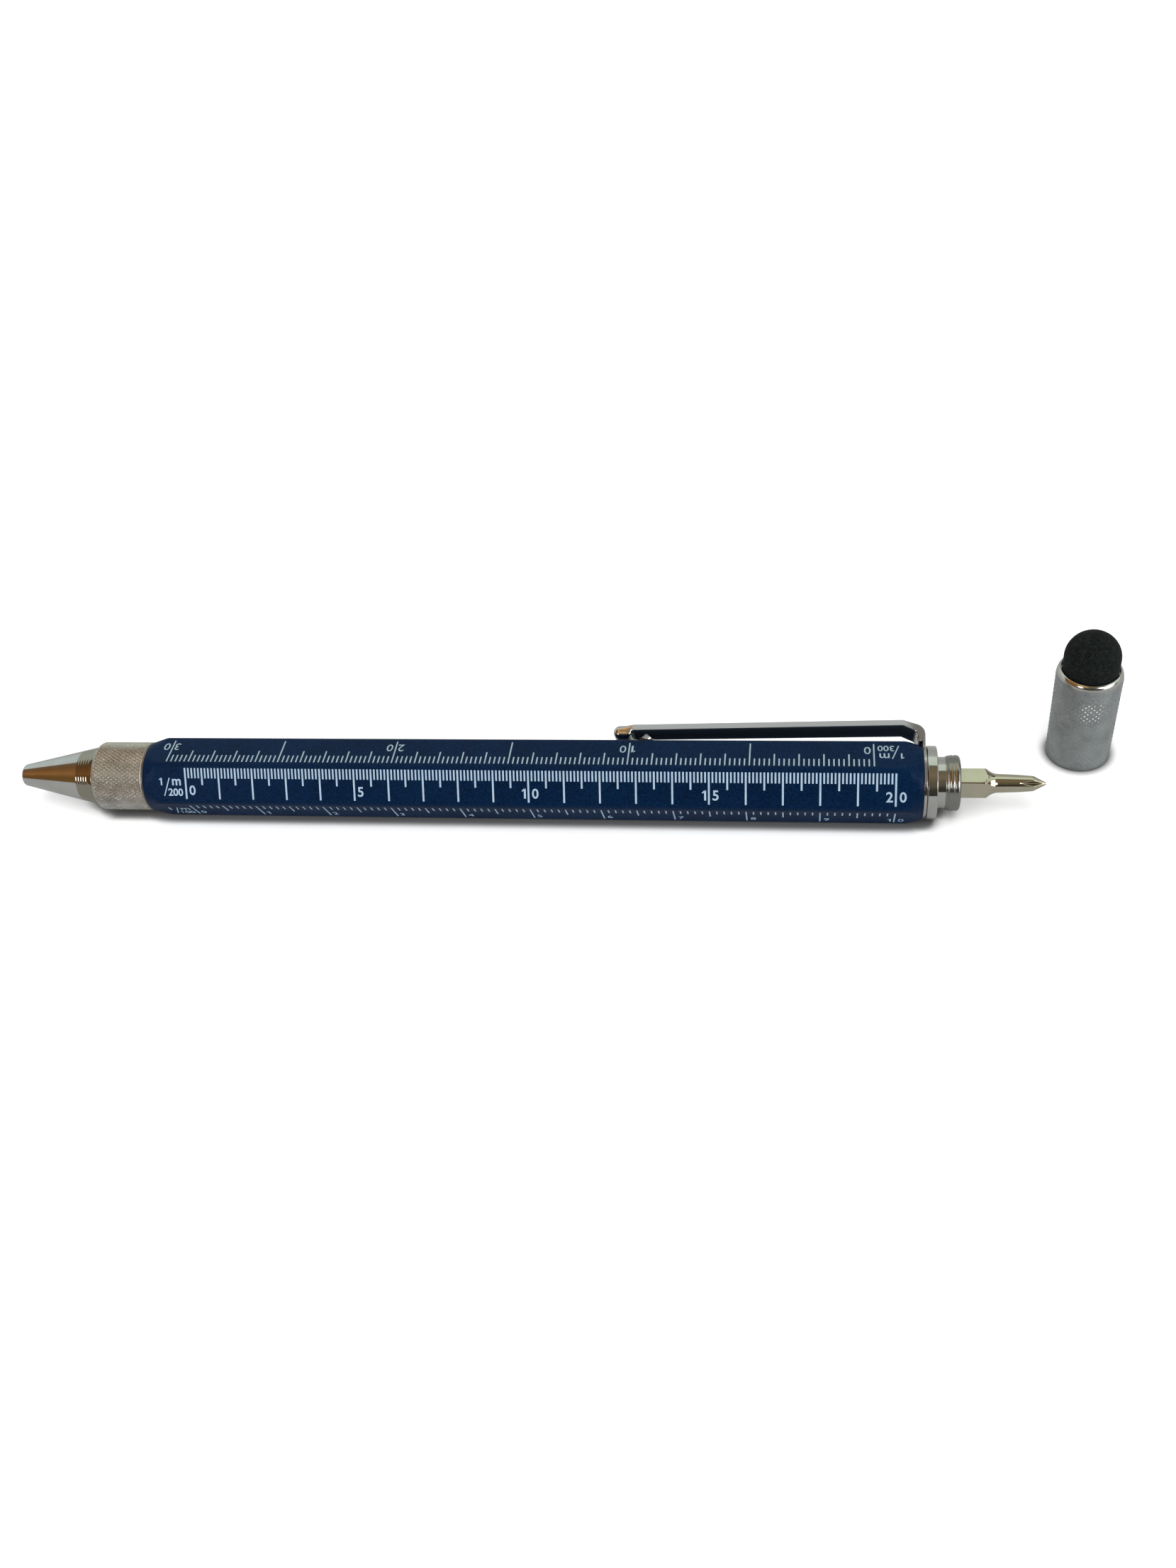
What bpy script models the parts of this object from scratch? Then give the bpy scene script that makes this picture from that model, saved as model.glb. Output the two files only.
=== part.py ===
"""Six-sided multi tool pen: twist refill, scale barrel, reversible driver bit, stylus cap.

The pen lies on one flat of its barrel, with its nose towards -X and its bit towards +X.
The cap is off the pen and stands beside the bit on its open mouth.
Lengths are in metres. A station is a distance along the pen's axis from the barrel's middle,
and it grows towards the bit.
"""

import math

import bmesh
import bpy
from mathutils import Matrix, Vector

COLLECTION_NAME = "multi_tool_pen"
CUTTER_COLLECTION_NAME = "multi_tool_pen_cutters"

# Gaps and overruns that all pieces share
PRESS_GAP = 0.00004
RUNNING_GAP = 0.00005
FACE_GAP = 0.00005
OVERRUN = 0.0005
MERGE_DISTANCE = 0.0000005

# Turns that a six-sided or square piece is built from
SIXTH_HALF = math.radians(30.0)
EIGHTH_TURN = math.radians(45.0)
QUARTER_TURN = math.radians(90.0)
HALF_TURN = math.radians(180.0)

# Facets round a full turn
OUTER_STEPS = 44
INNER_STEPS = 32
SMALL_STEPS = 20
ARC_STEPS = 4

# Barrel, a bar of six flats drilled from both ends
BARREL_LENGTH = 0.1103
BARREL_FLATS = 0.01015
BARREL_CORNER_RADIUS = 0.00085
BARREL_END_SETBACK = 0.00007
BARREL_END_ANGLE = math.radians(18.0)
BARREL_BORE_STEP = 0.0004

# Refill and its tip
REFILL_LENGTH = 0.0670
REFILL_DIAMETER = 0.00235
REFILL_WALL = 0.0002
REFILL_TRAVEL = 0.0040
REFILL_SETBACK = 0.0010
BALL_DIAMETER = 0.0008
BALL_SHOW_SHARE = 0.3
TIP_NECK_DIAMETER = 0.0013
TIP_NECK_LENGTH = 0.0060
TIP_SHOULDER_LENGTH = 0.0015
TIP_BODY_LENGTH = 0.0025
TIP_SPIGOT_LENGTH = 0.0030
TIP_MOUTH_TAPER = 0.0009
INK_CHANNEL_DIAMETER = 0.0004

# Twist mechanism, from the inside out
FOLLOWER_WALL = 0.0008
FOLLOWER_LENGTH = 0.0100
FOLLOWER_GRIP_LENGTH = 0.0060
FOLLOWER_PIN_DIAMETER = 0.0009
FOLLOWER_PIN_INSET = 0.0017
GUIDE_WALL = 0.00045
GUIDE_FRONT_ROOM = 0.0017
GUIDE_SEAT_LENGTH = 0.0055
CAM_WALL = 0.00045
CAM_TWIST = HALF_TURN
CAM_REAR_ROOM = 0.0033
SLOT_ROOM = 0.00006
SLOT_END_ANGLES = (math.radians(15.0), math.radians(40.0), math.radians(65.0))
ANCHOR_LENGTH = 0.0062
RING_GROOVE_DEPTH = 0.00015
RETAINER_WIDTH = 0.0005
RETAINER_RADIAL = 0.0006
RETAINER_OPENING = 0.0022
BUSHING_WALL = 0.00085
BUSHING_LENGTH = 0.0100
BUSHING_FLANGE_WIDTH = 0.00025
FRICTION_RING_SECTION = 0.00055
FRICTION_RING_INSET = 0.0040

# Grip and nose cone
GRIP_LENGTH = 0.00785
GRIP_SETBACK = 0.0001
GRIP_SHOULDER = 0.0006
GRIP_REAR_CHAMFER = 0.00025
NOSE_LENGTH = 0.0124
NOSE_TIP_DIAMETER = 0.00325
NOSE_TIP_ROUND = 0.0004
NOSE_TIP_ROUND_START = -15.0
NOSE_BASE_SETBACK = 0.0006
NOSE_HOLE_LENGTH = 0.0015
NOSE_HOLE_GAP = 0.0001
NOSE_FUNNEL_LENGTH = 0.0015
NOSE_FUNNEL_GAP = 0.00025
NOSE_HOLLOW_INSET = 0.0009
NOSE_SPIGOT_LENGTH = 0.0046
NOSE_SPIGOT_STEP = 0.0001
NOSE_SPIGOT_WALL = 0.0007

# Driver bit, with a cross point at one end and a blade at the other
BIT_FLATS = 0.0040
BIT_LENGTH = 0.0280
BIT_SHOW = 0.01145
BIT_ROLL = math.radians(18.0)
FLUTE_ROLL = BIT_ROLL + SIXTH_HALF
BIT_EDGE = 0.00012
BIT_TAPER_LENGTH = 0.0032
BIT_SHAFT_LENGTH = 0.00445
BIT_SHAFT_DIAMETER = 0.00256
BIT_NECK_DIAMETER = 0.00206
BIT_POINT_LENGTH = 0.00175
BIT_POINT_FLAT = 0.0003
FLUTE_LENGTH = 0.0052
FLUTE_ROOT_RADIUS = 0.00022
BLADE_LENGTH = 0.0045
BLADE_THICKNESS = 0.0005

# Bit collar, its insert and its magnet
SOCKET_ROOM = 0.00005
SOCKET_WALL = 0.0007
INSERT_WALL = 0.00065
INSERT_LENGTH = 0.0095
FLANGE_WIDTH = 0.00135
FLANGE_SETBACK = 0.00004
FLANGE_CHAMFER = 0.0001
NECK_DIAMETER = 0.0071
NECK_WIDTH = 0.00115
THREAD_DIAMETER = 0.0076
THREAD_LENGTH = 0.00198
THREAD_PITCH = 0.00042
THREAD_DEPTH = 0.00022
THREAD_ROUND = 0.00045
MAGNET_LENGTH = 0.0012
MAGNET_GAP = 0.0003

# Pocket clip
CLIP_LENGTH = 0.0430
CLIP_WIDTH = 0.0048
CLIP_TIP_WIDTH_SHARE = 0.88
CLIP_THICKNESS = 0.00088
CLIP_LEG_THICKNESS = 0.00095
CLIP_RING_THICKNESS = 0.0004
CLIP_RING_SETBACK = 0.00012
CLIP_RISE_REAR = 0.00322
CLIP_RISE_TIP = 0.002455
CLIP_SHOULDER_LENGTH = 0.0030
CLIP_SHOULDER_DROP = 0.00056
CLIP_CORNER_RADIUS = 0.0015
CLIP_CORNER_SWEEP = 74.0
CLIP_TIP_LENGTH = 0.0026
CLIP_TIP_DEPTH = 0.00184
CLIP_TIP_FILLET = 0.0004
CLIP_FOOT_GAP = 0.00012
CLIP_EDGE = 0.00012
CLIP_BALL_DIAMETER = 0.0020
CLIP_BALL_INSET = 0.0046
CLIP_BALL_GAP = 0.0001
CLIP_ROLL = SIXTH_HALF

# Cap and stylus
CAP_WALL = 0.00051
CAP_DRAFT = 0.00013
CAP_HEIGHT = 0.0150
CAP_TIP_ROOM = 0.00015
CAP_CROWN = 0.0014
CAP_RIM = 0.0006
CAP_RIM_ROUND = 0.00045
CAP_MOUTH_CHAMFER = 0.00012
CAP_RECESS_DEPTH = 0.0006
CAP_STAND_AHEAD = 0.00616
CAP_STAND_GAP = 0.0022
STYLUS_SIDE_GAP = 0.00012
STYLUS_BORE_GAP = 0.00007
STYLUS_COLLAR_HEIGHT = 0.0024
STYLUS_WALL = 0.0008
FERRULE_HEIGHT = 0.0021
FERRULE_STUD_DIAMETER = 0.0024
FERRULE_BARB = 0.00015
FERRULE_CHAMFER = 0.0003
FERRULE_POCKET_DIAMETER = 0.0017

# Radii that follow from the sizes above, from the axis outwards
BARREL_FLAT_RADIUS = BARREL_FLATS / 2
BARREL_POINT_RADIUS = BARREL_FLAT_RADIUS / math.cos(SIXTH_HALF)
BARREL_END_RADIUS = BARREL_FLAT_RADIUS - BARREL_END_SETBACK
REFILL_RADIUS = REFILL_DIAMETER / 2
FOLLOWER_RADIUS = REFILL_RADIUS + PRESS_GAP + FOLLOWER_WALL
GUIDE_BORE_RADIUS = FOLLOWER_RADIUS + RUNNING_GAP
GUIDE_RADIUS = GUIDE_BORE_RADIUS + GUIDE_WALL
CAM_BORE_RADIUS = GUIDE_RADIUS + RUNNING_GAP
CAM_RADIUS = CAM_BORE_RADIUS + CAM_WALL
BUSHING_BORE_RADIUS = CAM_RADIUS + RUNNING_GAP
BUSHING_RADIUS = BUSHING_BORE_RADIUS + BUSHING_WALL
FRONT_BORE_RADIUS = BUSHING_RADIUS + PRESS_GAP
MIDDLE_BORE_RADIUS = FRONT_BORE_RADIUS - BARREL_BORE_STEP
GRIP_RADIUS = BARREL_FLAT_RADIUS - GRIP_SETBACK
SPIGOT_RADIUS = CAM_RADIUS + NOSE_SPIGOT_STEP
NOSE_BASE_RADIUS = GRIP_RADIUS - NOSE_BASE_SETBACK
BIT_POINT_RADIUS = BIT_FLATS / 2 / math.cos(SIXTH_HALF)
SOCKET_FLATS = BIT_FLATS + 2 * SOCKET_ROOM
SHANK_RADIUS = SOCKET_FLATS / 2 / math.cos(SIXTH_HALF) + SOCKET_WALL
INSERT_BORE_RADIUS = SHANK_RADIUS + PRESS_GAP
INSERT_RADIUS = INSERT_BORE_RADIUS + INSERT_WALL
REAR_BORE_RADIUS = INSERT_RADIUS + PRESS_GAP
FLANGE_RADIUS = BARREL_FLAT_RADIUS - FLANGE_SETBACK
CLIP_RING_RADIUS = BARREL_END_RADIUS - CLIP_RING_SETBACK
CAP_BORE_RADIUS = THREAD_DIAMETER / 2 + RUNNING_GAP
CAP_MOUTH_RADIUS = CAP_BORE_RADIUS + CAP_WALL
CAP_CROWN_RADIUS = CAP_MOUTH_RADIUS + CAP_DRAFT
CAP_RECESS_RADIUS = CAP_CROWN_RADIUS - CAP_RIM
STYLUS_RADIUS = CAP_RECESS_RADIUS - STYLUS_SIDE_GAP
FERRULE_RADIUS = STYLUS_RADIUS - STYLUS_WALL - STYLUS_BORE_GAP

# Stations along the pen
BARREL_FRONT = -BARREL_LENGTH / 2
BARREL_REAR = BARREL_LENGTH / 2
GRIP_REAR = BARREL_FRONT - BUSHING_FLANGE_WIDTH - FACE_GAP
GRIP_FRONT = GRIP_REAR - GRIP_LENGTH
NOSE_BASE = GRIP_FRONT - FACE_GAP
NOSE_TIP = NOSE_BASE - NOSE_LENGTH
SPIGOT_END = NOSE_BASE + NOSE_SPIGOT_LENGTH
REFILL_FRONT = NOSE_TIP + REFILL_SETBACK
REFILL_REAR = REFILL_FRONT + REFILL_LENGTH
FOLLOWER_FRONT = REFILL_REAR - FOLLOWER_GRIP_LENGTH
FOLLOWER_REAR = FOLLOWER_FRONT + FOLLOWER_LENGTH
PIN_STATION = FOLLOWER_REAR - FOLLOWER_PIN_INSET
GUIDE_FRONT = FOLLOWER_FRONT - GUIDE_FRONT_ROOM
CAM_FRONT = SPIGOT_END + FACE_GAP
CAM_REAR = FOLLOWER_REAR + CAM_REAR_ROOM
ANCHOR_FRONT = CAM_REAR + FACE_GAP
ANCHOR_REAR = ANCHOR_FRONT + ANCHOR_LENGTH
GUIDE_REAR = ANCHOR_FRONT + GUIDE_SEAT_LENGTH
BUSHING_REAR = BARREL_FRONT + BUSHING_LENGTH
RETAINER_FRONT = BUSHING_REAR + FACE_GAP
CLIP_RING_FRONT = BARREL_REAR + FACE_GAP
CLIP_RING_REAR = CLIP_RING_FRONT + CLIP_RING_THICKNESS
FLANGE_FRONT = CLIP_RING_REAR + FACE_GAP
FLANGE_REAR = FLANGE_FRONT + FLANGE_WIDTH
NECK_REAR = FLANGE_REAR + NECK_WIDTH
THREAD_REAR = NECK_REAR + THREAD_LENGTH
BIT_TIP = THREAD_REAR + BIT_SHOW
BIT_REAR = BIT_TIP - BIT_LENGTH
MAGNET_REAR = BIT_REAR - MAGNET_GAP
SHANK_FRONT = MAGNET_REAR - MAGNET_LENGTH
INSERT_REAR = BARREL_REAR - FACE_GAP
INSERT_FRONT = INSERT_REAR - INSERT_LENGTH

# Heights of the standing cap
CAP_DEPTH = CAP_HEIGHT - CAP_CROWN
POCKET_TOP = BIT_TIP - FLANGE_REAR + CAP_TIP_ROOM
CAP_RECESS_FLOOR = CAP_HEIGHT - CAP_RECESS_DEPTH
CAP_STAND_X = BIT_TIP + CAP_STAND_AHEAD
CAP_STAND_Y = BARREL_POINT_RADIUS + CAP_STAND_GAP + CAP_CROWN_RADIUS


def clear_scene():
    """Remove every object, so that a rerun starts clean."""
    for old in list(bpy.data.objects):
        bpy.data.objects.remove(old, do_unlink=True)
    for old in list(bpy.data.collections):
        bpy.data.collections.remove(old)


def new_collection(name):
    """Make a collection under the scene."""
    collection = bpy.data.collections.new(name)
    bpy.context.scene.collection.children.link(collection)
    return collection


def new_material(name, colour, roughness, metallic):
    """Make a Principled material."""
    material = bpy.data.materials.new(name)
    material.use_nodes = True
    shader = material.node_tree.nodes["Principled BSDF"]
    shader.inputs["Base Color"].default_value = (*colour, 1.0)
    shader.inputs["Roughness"].default_value = roughness
    shader.inputs["Metallic"].default_value = metallic
    material.diffuse_color = (*colour, 1.0)
    return material


def new_empty(name, location, rotation):
    """Make an empty that carries one group of pieces."""
    empty = bpy.data.objects.new(name, None)
    empty.location = location
    empty.rotation_euler = rotation
    bpy.data.collections[COLLECTION_NAME].objects.link(empty)
    return empty


def place(name, mesh, parent, station, material=None):
    """Link a mesh as a piece, or as a cutter where it has no material."""
    piece = bpy.data.objects.new(name, mesh)
    piece.parent = parent
    piece.location = (0.0, 0.0, station)
    if material:
        mesh.materials.append(material)
        bpy.data.collections[COLLECTION_NAME].objects.link(piece)
    else:
        piece.hide_render = True
        piece.display_type = "WIRE"
        bpy.data.collections[CUTTER_COLLECTION_NAME].objects.link(piece)
    return piece


def arc(centre, radius, start, end, steps=ARC_STEPS):
    """Points on an arc in a plane, both ends included; angles in degrees."""
    points = []
    for step in range(steps + 1):
        angle = math.radians(start + (end - start) * step / steps)
        points.append((centre[0] + radius * math.cos(angle), centre[1] + radius * math.sin(angle)))
    return points


def turned(name, parent, station, outer, material=None, inner=None, steps=OUTER_STEPS):
    """Turn a profile of (radius, height) points about the piece's own Z axis.

    The outer side runs from the top down. The inner side, where there is a bore, runs up again.
    Without a bore, the outer side starts and ends on the axis.
    """
    points = list(outer) + list(inner or [])
    mesh = bpy.data.meshes.new(name)
    profile = bmesh.new()
    verts = [profile.verts.new((radius, 0.0, height)) for radius, height in points]
    for first, second in zip(verts, verts[1:]):
        profile.edges.new((first, second))
    if inner:
        profile.edges.new((verts[-1], verts[0]))
    profile.to_mesh(mesh)
    profile.free()
    piece = place(name, mesh, parent, station, material)
    screw = piece.modifiers.new("turn", "SCREW")
    screw.axis = "Z"
    screw.angle = math.tau
    screw.steps = steps
    screw.render_steps = steps
    screw.use_merge_vertices = True
    screw.merge_threshold = MERGE_DISTANCE
    screw.use_smooth_shade = True
    return piece


def hex_bar(name, parent, station, flats, length, roll, material=None):
    """A six-sided bar along Z, its middle at the station."""
    mesh = bpy.data.meshes.new(name)
    bar = bmesh.new()
    corner = flats / 2 / math.cos(SIXTH_HALF)
    bmesh.ops.create_cone(bar, cap_ends=True, segments=6, radius1=corner, radius2=corner, depth=length,
                          matrix=Matrix.Rotation(roll, 4, "Z"))
    bar.to_mesh(mesh)
    bar.free()
    return place(name, mesh, parent, station, material)


def block(name, parent, station, matrices, material=None):
    """One or more unit cubes, each shaped and placed by its own matrix."""
    mesh = bpy.data.meshes.new(name)
    cubes = bmesh.new()
    for matrix in matrices:
        bmesh.ops.create_cube(cubes, size=1.0, matrix=matrix)
    cubes.to_mesh(mesh)
    cubes.free()
    return place(name, mesh, parent, station, material)


def soften(piece, width, segments, angle=SIXTH_HALF):
    """Bevel the edges that are sharper than an angle."""
    bevel = piece.modifiers.new("soften", "BEVEL")
    bevel.width = width
    bevel.segments = segments
    bevel.limit_method = "ANGLE"
    bevel.angle_limit = angle
    return bevel


def combine(piece, other, operation):
    """Join, cut or keep in common, with the exact solver."""
    boolean = piece.modifiers.new(operation.lower(), "BOOLEAN")
    boolean.operation = operation
    boolean.solver = "EXACT"
    boolean.object = other
    return boolean


def slot_cutter(name, parent, radius, wall, start, travel, twist):
    """A round-ended slot wrapped on a cylinder, for the follower's pin to run in.

    The slot starts at angle zero and moves by travel along Z and twist about it.
    """
    half_width = FOLLOWER_PIN_DIAMETER / 2 + SLOT_ROOM
    run = math.hypot(travel, radius * twist)
    along = Vector((radius * twist / run, travel / run))
    across = Vector((-along.y, along.x))
    sections = [(-half_width * math.cos(angle), half_width * math.sin(angle)) for angle in SLOT_END_ANGLES]
    sections += [(run * step / INNER_STEPS, half_width) for step in range(INNER_STEPS + 1)]
    sections += [(run + half_width * math.cos(angle), half_width * math.sin(angle))
                 for angle in reversed(SLOT_END_ANGLES)]
    cutter = bmesh.new()
    rings = []
    for distance, half in sections:
        ring = []
        for side, reach in ((-1, -wall), (1, -wall), (1, wall), (-1, wall)):
            spot = along * distance + across * half * side
            angle = spot.x / radius
            ring.append(cutter.verts.new(((radius + reach) * math.cos(angle),
                                          (radius + reach) * math.sin(angle),
                                          spot.y)))
        rings.append(ring)
    for low, high in zip(rings, rings[1:]):
        for corner in range(4):
            following = (corner + 1) % 4
            cutter.faces.new((low[corner], low[following], high[following], high[corner]))
    cutter.faces.new(rings[0])
    cutter.faces.new(rings[-1])
    bmesh.ops.recalc_face_normals(cutter, faces=cutter.faces)
    mesh = bpy.data.meshes.new(name)
    cutter.to_mesh(mesh)
    cutter.free()
    return place(name, mesh, parent, start)


def build_barrel(axis, material):
    """Hexagonal bar with turned-down ends and a stepped bore."""
    stock_length = BARREL_LENGTH + 2 * BARREL_POINT_RADIUS
    barrel = hex_bar("hex_barrel", axis, 0.0, BARREL_FLATS, stock_length, 0.0, material)
    soften(barrel, BARREL_CORNER_RADIUS * math.tan(SIXTH_HALF), ARC_STEPS)
    wide = BARREL_POINT_RADIUS + OVERRUN
    cone_length = (wide - BARREL_END_RADIUS) / math.tan(BARREL_END_ANGLE)
    envelope = turned("barrel_envelope", axis, 0.0, [
        (0.0, BARREL_REAR),
        (BARREL_END_RADIUS, BARREL_REAR),
        (wide, BARREL_REAR - cone_length),
        (wide, BARREL_FRONT + cone_length),
        (BARREL_END_RADIUS, BARREL_FRONT),
        (0.0, BARREL_FRONT)])
    bore = turned("barrel_bore", axis, 0.0, [
        (0.0, BARREL_REAR + OVERRUN),
        (REAR_BORE_RADIUS, BARREL_REAR + OVERRUN),
        (REAR_BORE_RADIUS, INSERT_FRONT - FACE_GAP),
        (MIDDLE_BORE_RADIUS, INSERT_FRONT - FACE_GAP),
        (MIDDLE_BORE_RADIUS, ANCHOR_REAR + FACE_GAP),
        (FRONT_BORE_RADIUS, ANCHOR_REAR + FACE_GAP),
        (FRONT_BORE_RADIUS, BARREL_FRONT - OVERRUN),
        (0.0, BARREL_FRONT - OVERRUN)])
    combine(barrel, envelope, "INTERSECT")
    combine(barrel, bore, "DIFFERENCE")


def build_bushing(axis, material):
    """Flanged bearing for the cam tube, with a groove for the friction ring."""
    groove = FRICTION_RING_SECTION / 2 + RUNNING_GAP
    groove_station = BARREL_FRONT + FRICTION_RING_INSET
    groove_radius = BUSHING_BORE_RADIUS + FRICTION_RING_SECTION
    turned("front_bushing", axis, 0.0, [
        (BUSHING_RADIUS, BUSHING_REAR),
        (BUSHING_RADIUS, BARREL_FRONT - FACE_GAP),
        (GRIP_RADIUS, BARREL_FRONT - FACE_GAP),
        (GRIP_RADIUS, GRIP_REAR + FACE_GAP)], material, inner=[
        (BUSHING_BORE_RADIUS, GRIP_REAR + FACE_GAP),
        (BUSHING_BORE_RADIUS, groove_station - groove),
        (groove_radius, groove_station - groove),
        (groove_radius, groove_station + groove),
        (BUSHING_BORE_RADIUS, groove_station + groove),
        (BUSHING_BORE_RADIUS, BUSHING_REAR)])


def build_friction_ring(axis, material):
    """Rubber ring that gives the twist its drag."""
    section = FRICTION_RING_SECTION / 2 - RUNNING_GAP / 2
    middle = CAM_RADIUS + RUNNING_GAP / 2 + FRICTION_RING_SECTION / 2
    ring = arc((middle, 0.0), section, 0.0, -360.0, 2 * ARC_STEPS)[:-1]
    turned("friction_ring", axis, BARREL_FRONT + FRICTION_RING_INSET, ring[:ARC_STEPS], material,
           inner=ring[ARC_STEPS:], steps=SMALL_STEPS)


def build_anchor(axis, material):
    """Plug pressed against the shoulder of the bore; it holds the guide tube still."""
    guide_end = GUIDE_REAR + FACE_GAP
    turned("anchor_plug", axis, 0.0, [
        (BUSHING_RADIUS, ANCHOR_REAR),
        (BUSHING_RADIUS, ANCHOR_FRONT)], material, inner=[
        (GUIDE_RADIUS + PRESS_GAP, ANCHOR_FRONT),
        (GUIDE_RADIUS + PRESS_GAP, guide_end),
        (GUIDE_BORE_RADIUS, guide_end),
        (GUIDE_BORE_RADIUS, ANCHOR_REAR)], steps=INNER_STEPS)


def build_guide_tube(axis, material):
    """Fixed tube whose straight slot keeps the follower from turning."""
    guide = turned("guide_tube", axis, 0.0, [
        (GUIDE_RADIUS, GUIDE_REAR),
        (GUIDE_RADIUS, GUIDE_FRONT)], material, inner=[
        (GUIDE_BORE_RADIUS, GUIDE_FRONT),
        (GUIDE_BORE_RADIUS, GUIDE_REAR)], steps=INNER_STEPS)
    middle = (GUIDE_RADIUS + GUIDE_BORE_RADIUS) / 2
    slot = slot_cutter("guide_slot", axis, middle, GUIDE_WALL, PIN_STATION, -REFILL_TRAVEL, 0.0)
    combine(guide, slot, "DIFFERENCE")


def build_cam_tube(grip_axis, material):
    """Long tube that turns with the grip; its helical slot drives the follower."""
    groove_radius = CAM_RADIUS - RING_GROOVE_DEPTH
    groove_front = RETAINER_FRONT - RUNNING_GAP
    groove_rear = RETAINER_FRONT + RETAINER_WIDTH + RUNNING_GAP
    cam = turned("cam_tube", grip_axis, 0.0, [
        (CAM_RADIUS, CAM_REAR),
        (CAM_RADIUS, groove_rear),
        (groove_radius, groove_rear),
        (groove_radius, groove_front),
        (CAM_RADIUS, groove_front),
        (CAM_RADIUS, CAM_FRONT)], material, inner=[
        (CAM_BORE_RADIUS, CAM_FRONT),
        (CAM_BORE_RADIUS, CAM_REAR)], steps=INNER_STEPS)
    middle = (CAM_RADIUS + CAM_BORE_RADIUS) / 2
    slot = slot_cutter("cam_slot", grip_axis, middle, CAM_WALL, PIN_STATION, -REFILL_TRAVEL, CAM_TWIST)
    combine(cam, slot, "DIFFERENCE")


def build_retaining_ring(grip_axis, material):
    """Open spring ring in the cam tube's groove, behind the bushing."""
    inner_radius = CAM_RADIUS - RING_GROOVE_DEPTH + PRESS_GAP
    outer_radius = inner_radius + RETAINER_RADIAL
    ring = turned("retaining_ring", grip_axis, RETAINER_FRONT, [
        (outer_radius, RETAINER_WIDTH),
        (outer_radius, 0.0)], material, inner=[
        (inner_radius, 0.0),
        (inner_radius, RETAINER_WIDTH)], steps=INNER_STEPS)
    opening = Matrix.Translation((0.0, outer_radius, RETAINER_WIDTH / 2)) @ Matrix.Diagonal(
        (RETAINER_OPENING, 2 * outer_radius, RETAINER_WIDTH + 2 * OVERRUN, 1.0))
    combine(ring, block("retaining_ring_opening", grip_axis, RETAINER_FRONT, [opening]), "DIFFERENCE")


def build_grip(grip_axis, material):
    """Grip sleeve: the nose cone screws in at the front, the cam tube is pressed in behind."""
    shoulder = arc((GRIP_RADIUS - GRIP_SHOULDER, GRIP_FRONT + GRIP_SHOULDER), GRIP_SHOULDER, 0.0, -90.0)
    seat = SPIGOT_END + FACE_GAP / 2
    turned("knurled_grip", grip_axis, 0.0, [
        (GRIP_RADIUS - GRIP_REAR_CHAMFER, GRIP_REAR),
        (GRIP_RADIUS, GRIP_REAR - GRIP_REAR_CHAMFER),
        *shoulder], material, inner=[
        (SPIGOT_RADIUS + PRESS_GAP, GRIP_FRONT),
        (SPIGOT_RADIUS + PRESS_GAP, seat),
        (CAM_RADIUS + PRESS_GAP, seat),
        (CAM_RADIUS + PRESS_GAP, GRIP_REAR)])


def build_nose_cone(grip_axis, material):
    """Polished cone with a small hole for the tip and a screwed spigot behind."""
    tip_radius = NOSE_TIP_DIAMETER / 2
    edge = arc((tip_radius - NOSE_TIP_ROUND, NOSE_TIP + NOSE_TIP_ROUND), NOSE_TIP_ROUND,
               NOSE_TIP_ROUND_START, -90.0)
    hole = TIP_NECK_DIAMETER / 2 + NOSE_HOLE_GAP
    funnel = REFILL_RADIUS + NOSE_FUNNEL_GAP
    cavity = SPIGOT_RADIUS - NOSE_SPIGOT_WALL
    hole_end = NOSE_TIP + NOSE_HOLE_LENGTH
    turned("nose_cone", grip_axis, 0.0, [
        (SPIGOT_RADIUS, SPIGOT_END),
        (SPIGOT_RADIUS, NOSE_BASE),
        (NOSE_BASE_RADIUS, NOSE_BASE),
        *edge], material, inner=[
        (hole, NOSE_TIP),
        (hole, hole_end),
        (funnel, hole_end + NOSE_FUNNEL_LENGTH),
        (cavity, NOSE_BASE - NOSE_HOLLOW_INSET),
        (cavity, SPIGOT_END)])


def build_follower(refill_axis, material):
    """Sliding holder that grips the refill's end and carries the pin."""
    follower = turned("cam_follower", refill_axis, 0.0, [
        (0.0, FOLLOWER_REAR),
        (FOLLOWER_RADIUS, FOLLOWER_REAR),
        (FOLLOWER_RADIUS, FOLLOWER_FRONT),
        (REFILL_RADIUS + PRESS_GAP, FOLLOWER_FRONT),
        (REFILL_RADIUS + PRESS_GAP, REFILL_REAR + FACE_GAP),
        (0.0, REFILL_REAR + FACE_GAP)], material, steps=INNER_STEPS)
    hole_radius = FOLLOWER_PIN_DIAMETER / 2 + PRESS_GAP
    hole = cross_pin("follower_pin_hole", refill_axis, hole_radius, PRESS_GAP, FOLLOWER_RADIUS + OVERRUN)
    combine(follower, hole, "DIFFERENCE")


def cross_pin(name, parent, radius, low, high, material=None):
    """Cylinder square to the axis, from one radius of the pen to another."""
    mesh = bpy.data.meshes.new(name)
    pin = bmesh.new()
    matrix = Matrix.Translation(((low + high) / 2, 0.0, 0.0)) @ Matrix.Rotation(QUARTER_TURN, 4, "Y")
    bmesh.ops.create_cone(pin, cap_ends=True, segments=SMALL_STEPS, radius1=radius, radius2=radius,
                          depth=high - low, matrix=matrix)
    pin.to_mesh(mesh)
    pin.free()
    return place(name, mesh, parent, PIN_STATION, material)


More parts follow.
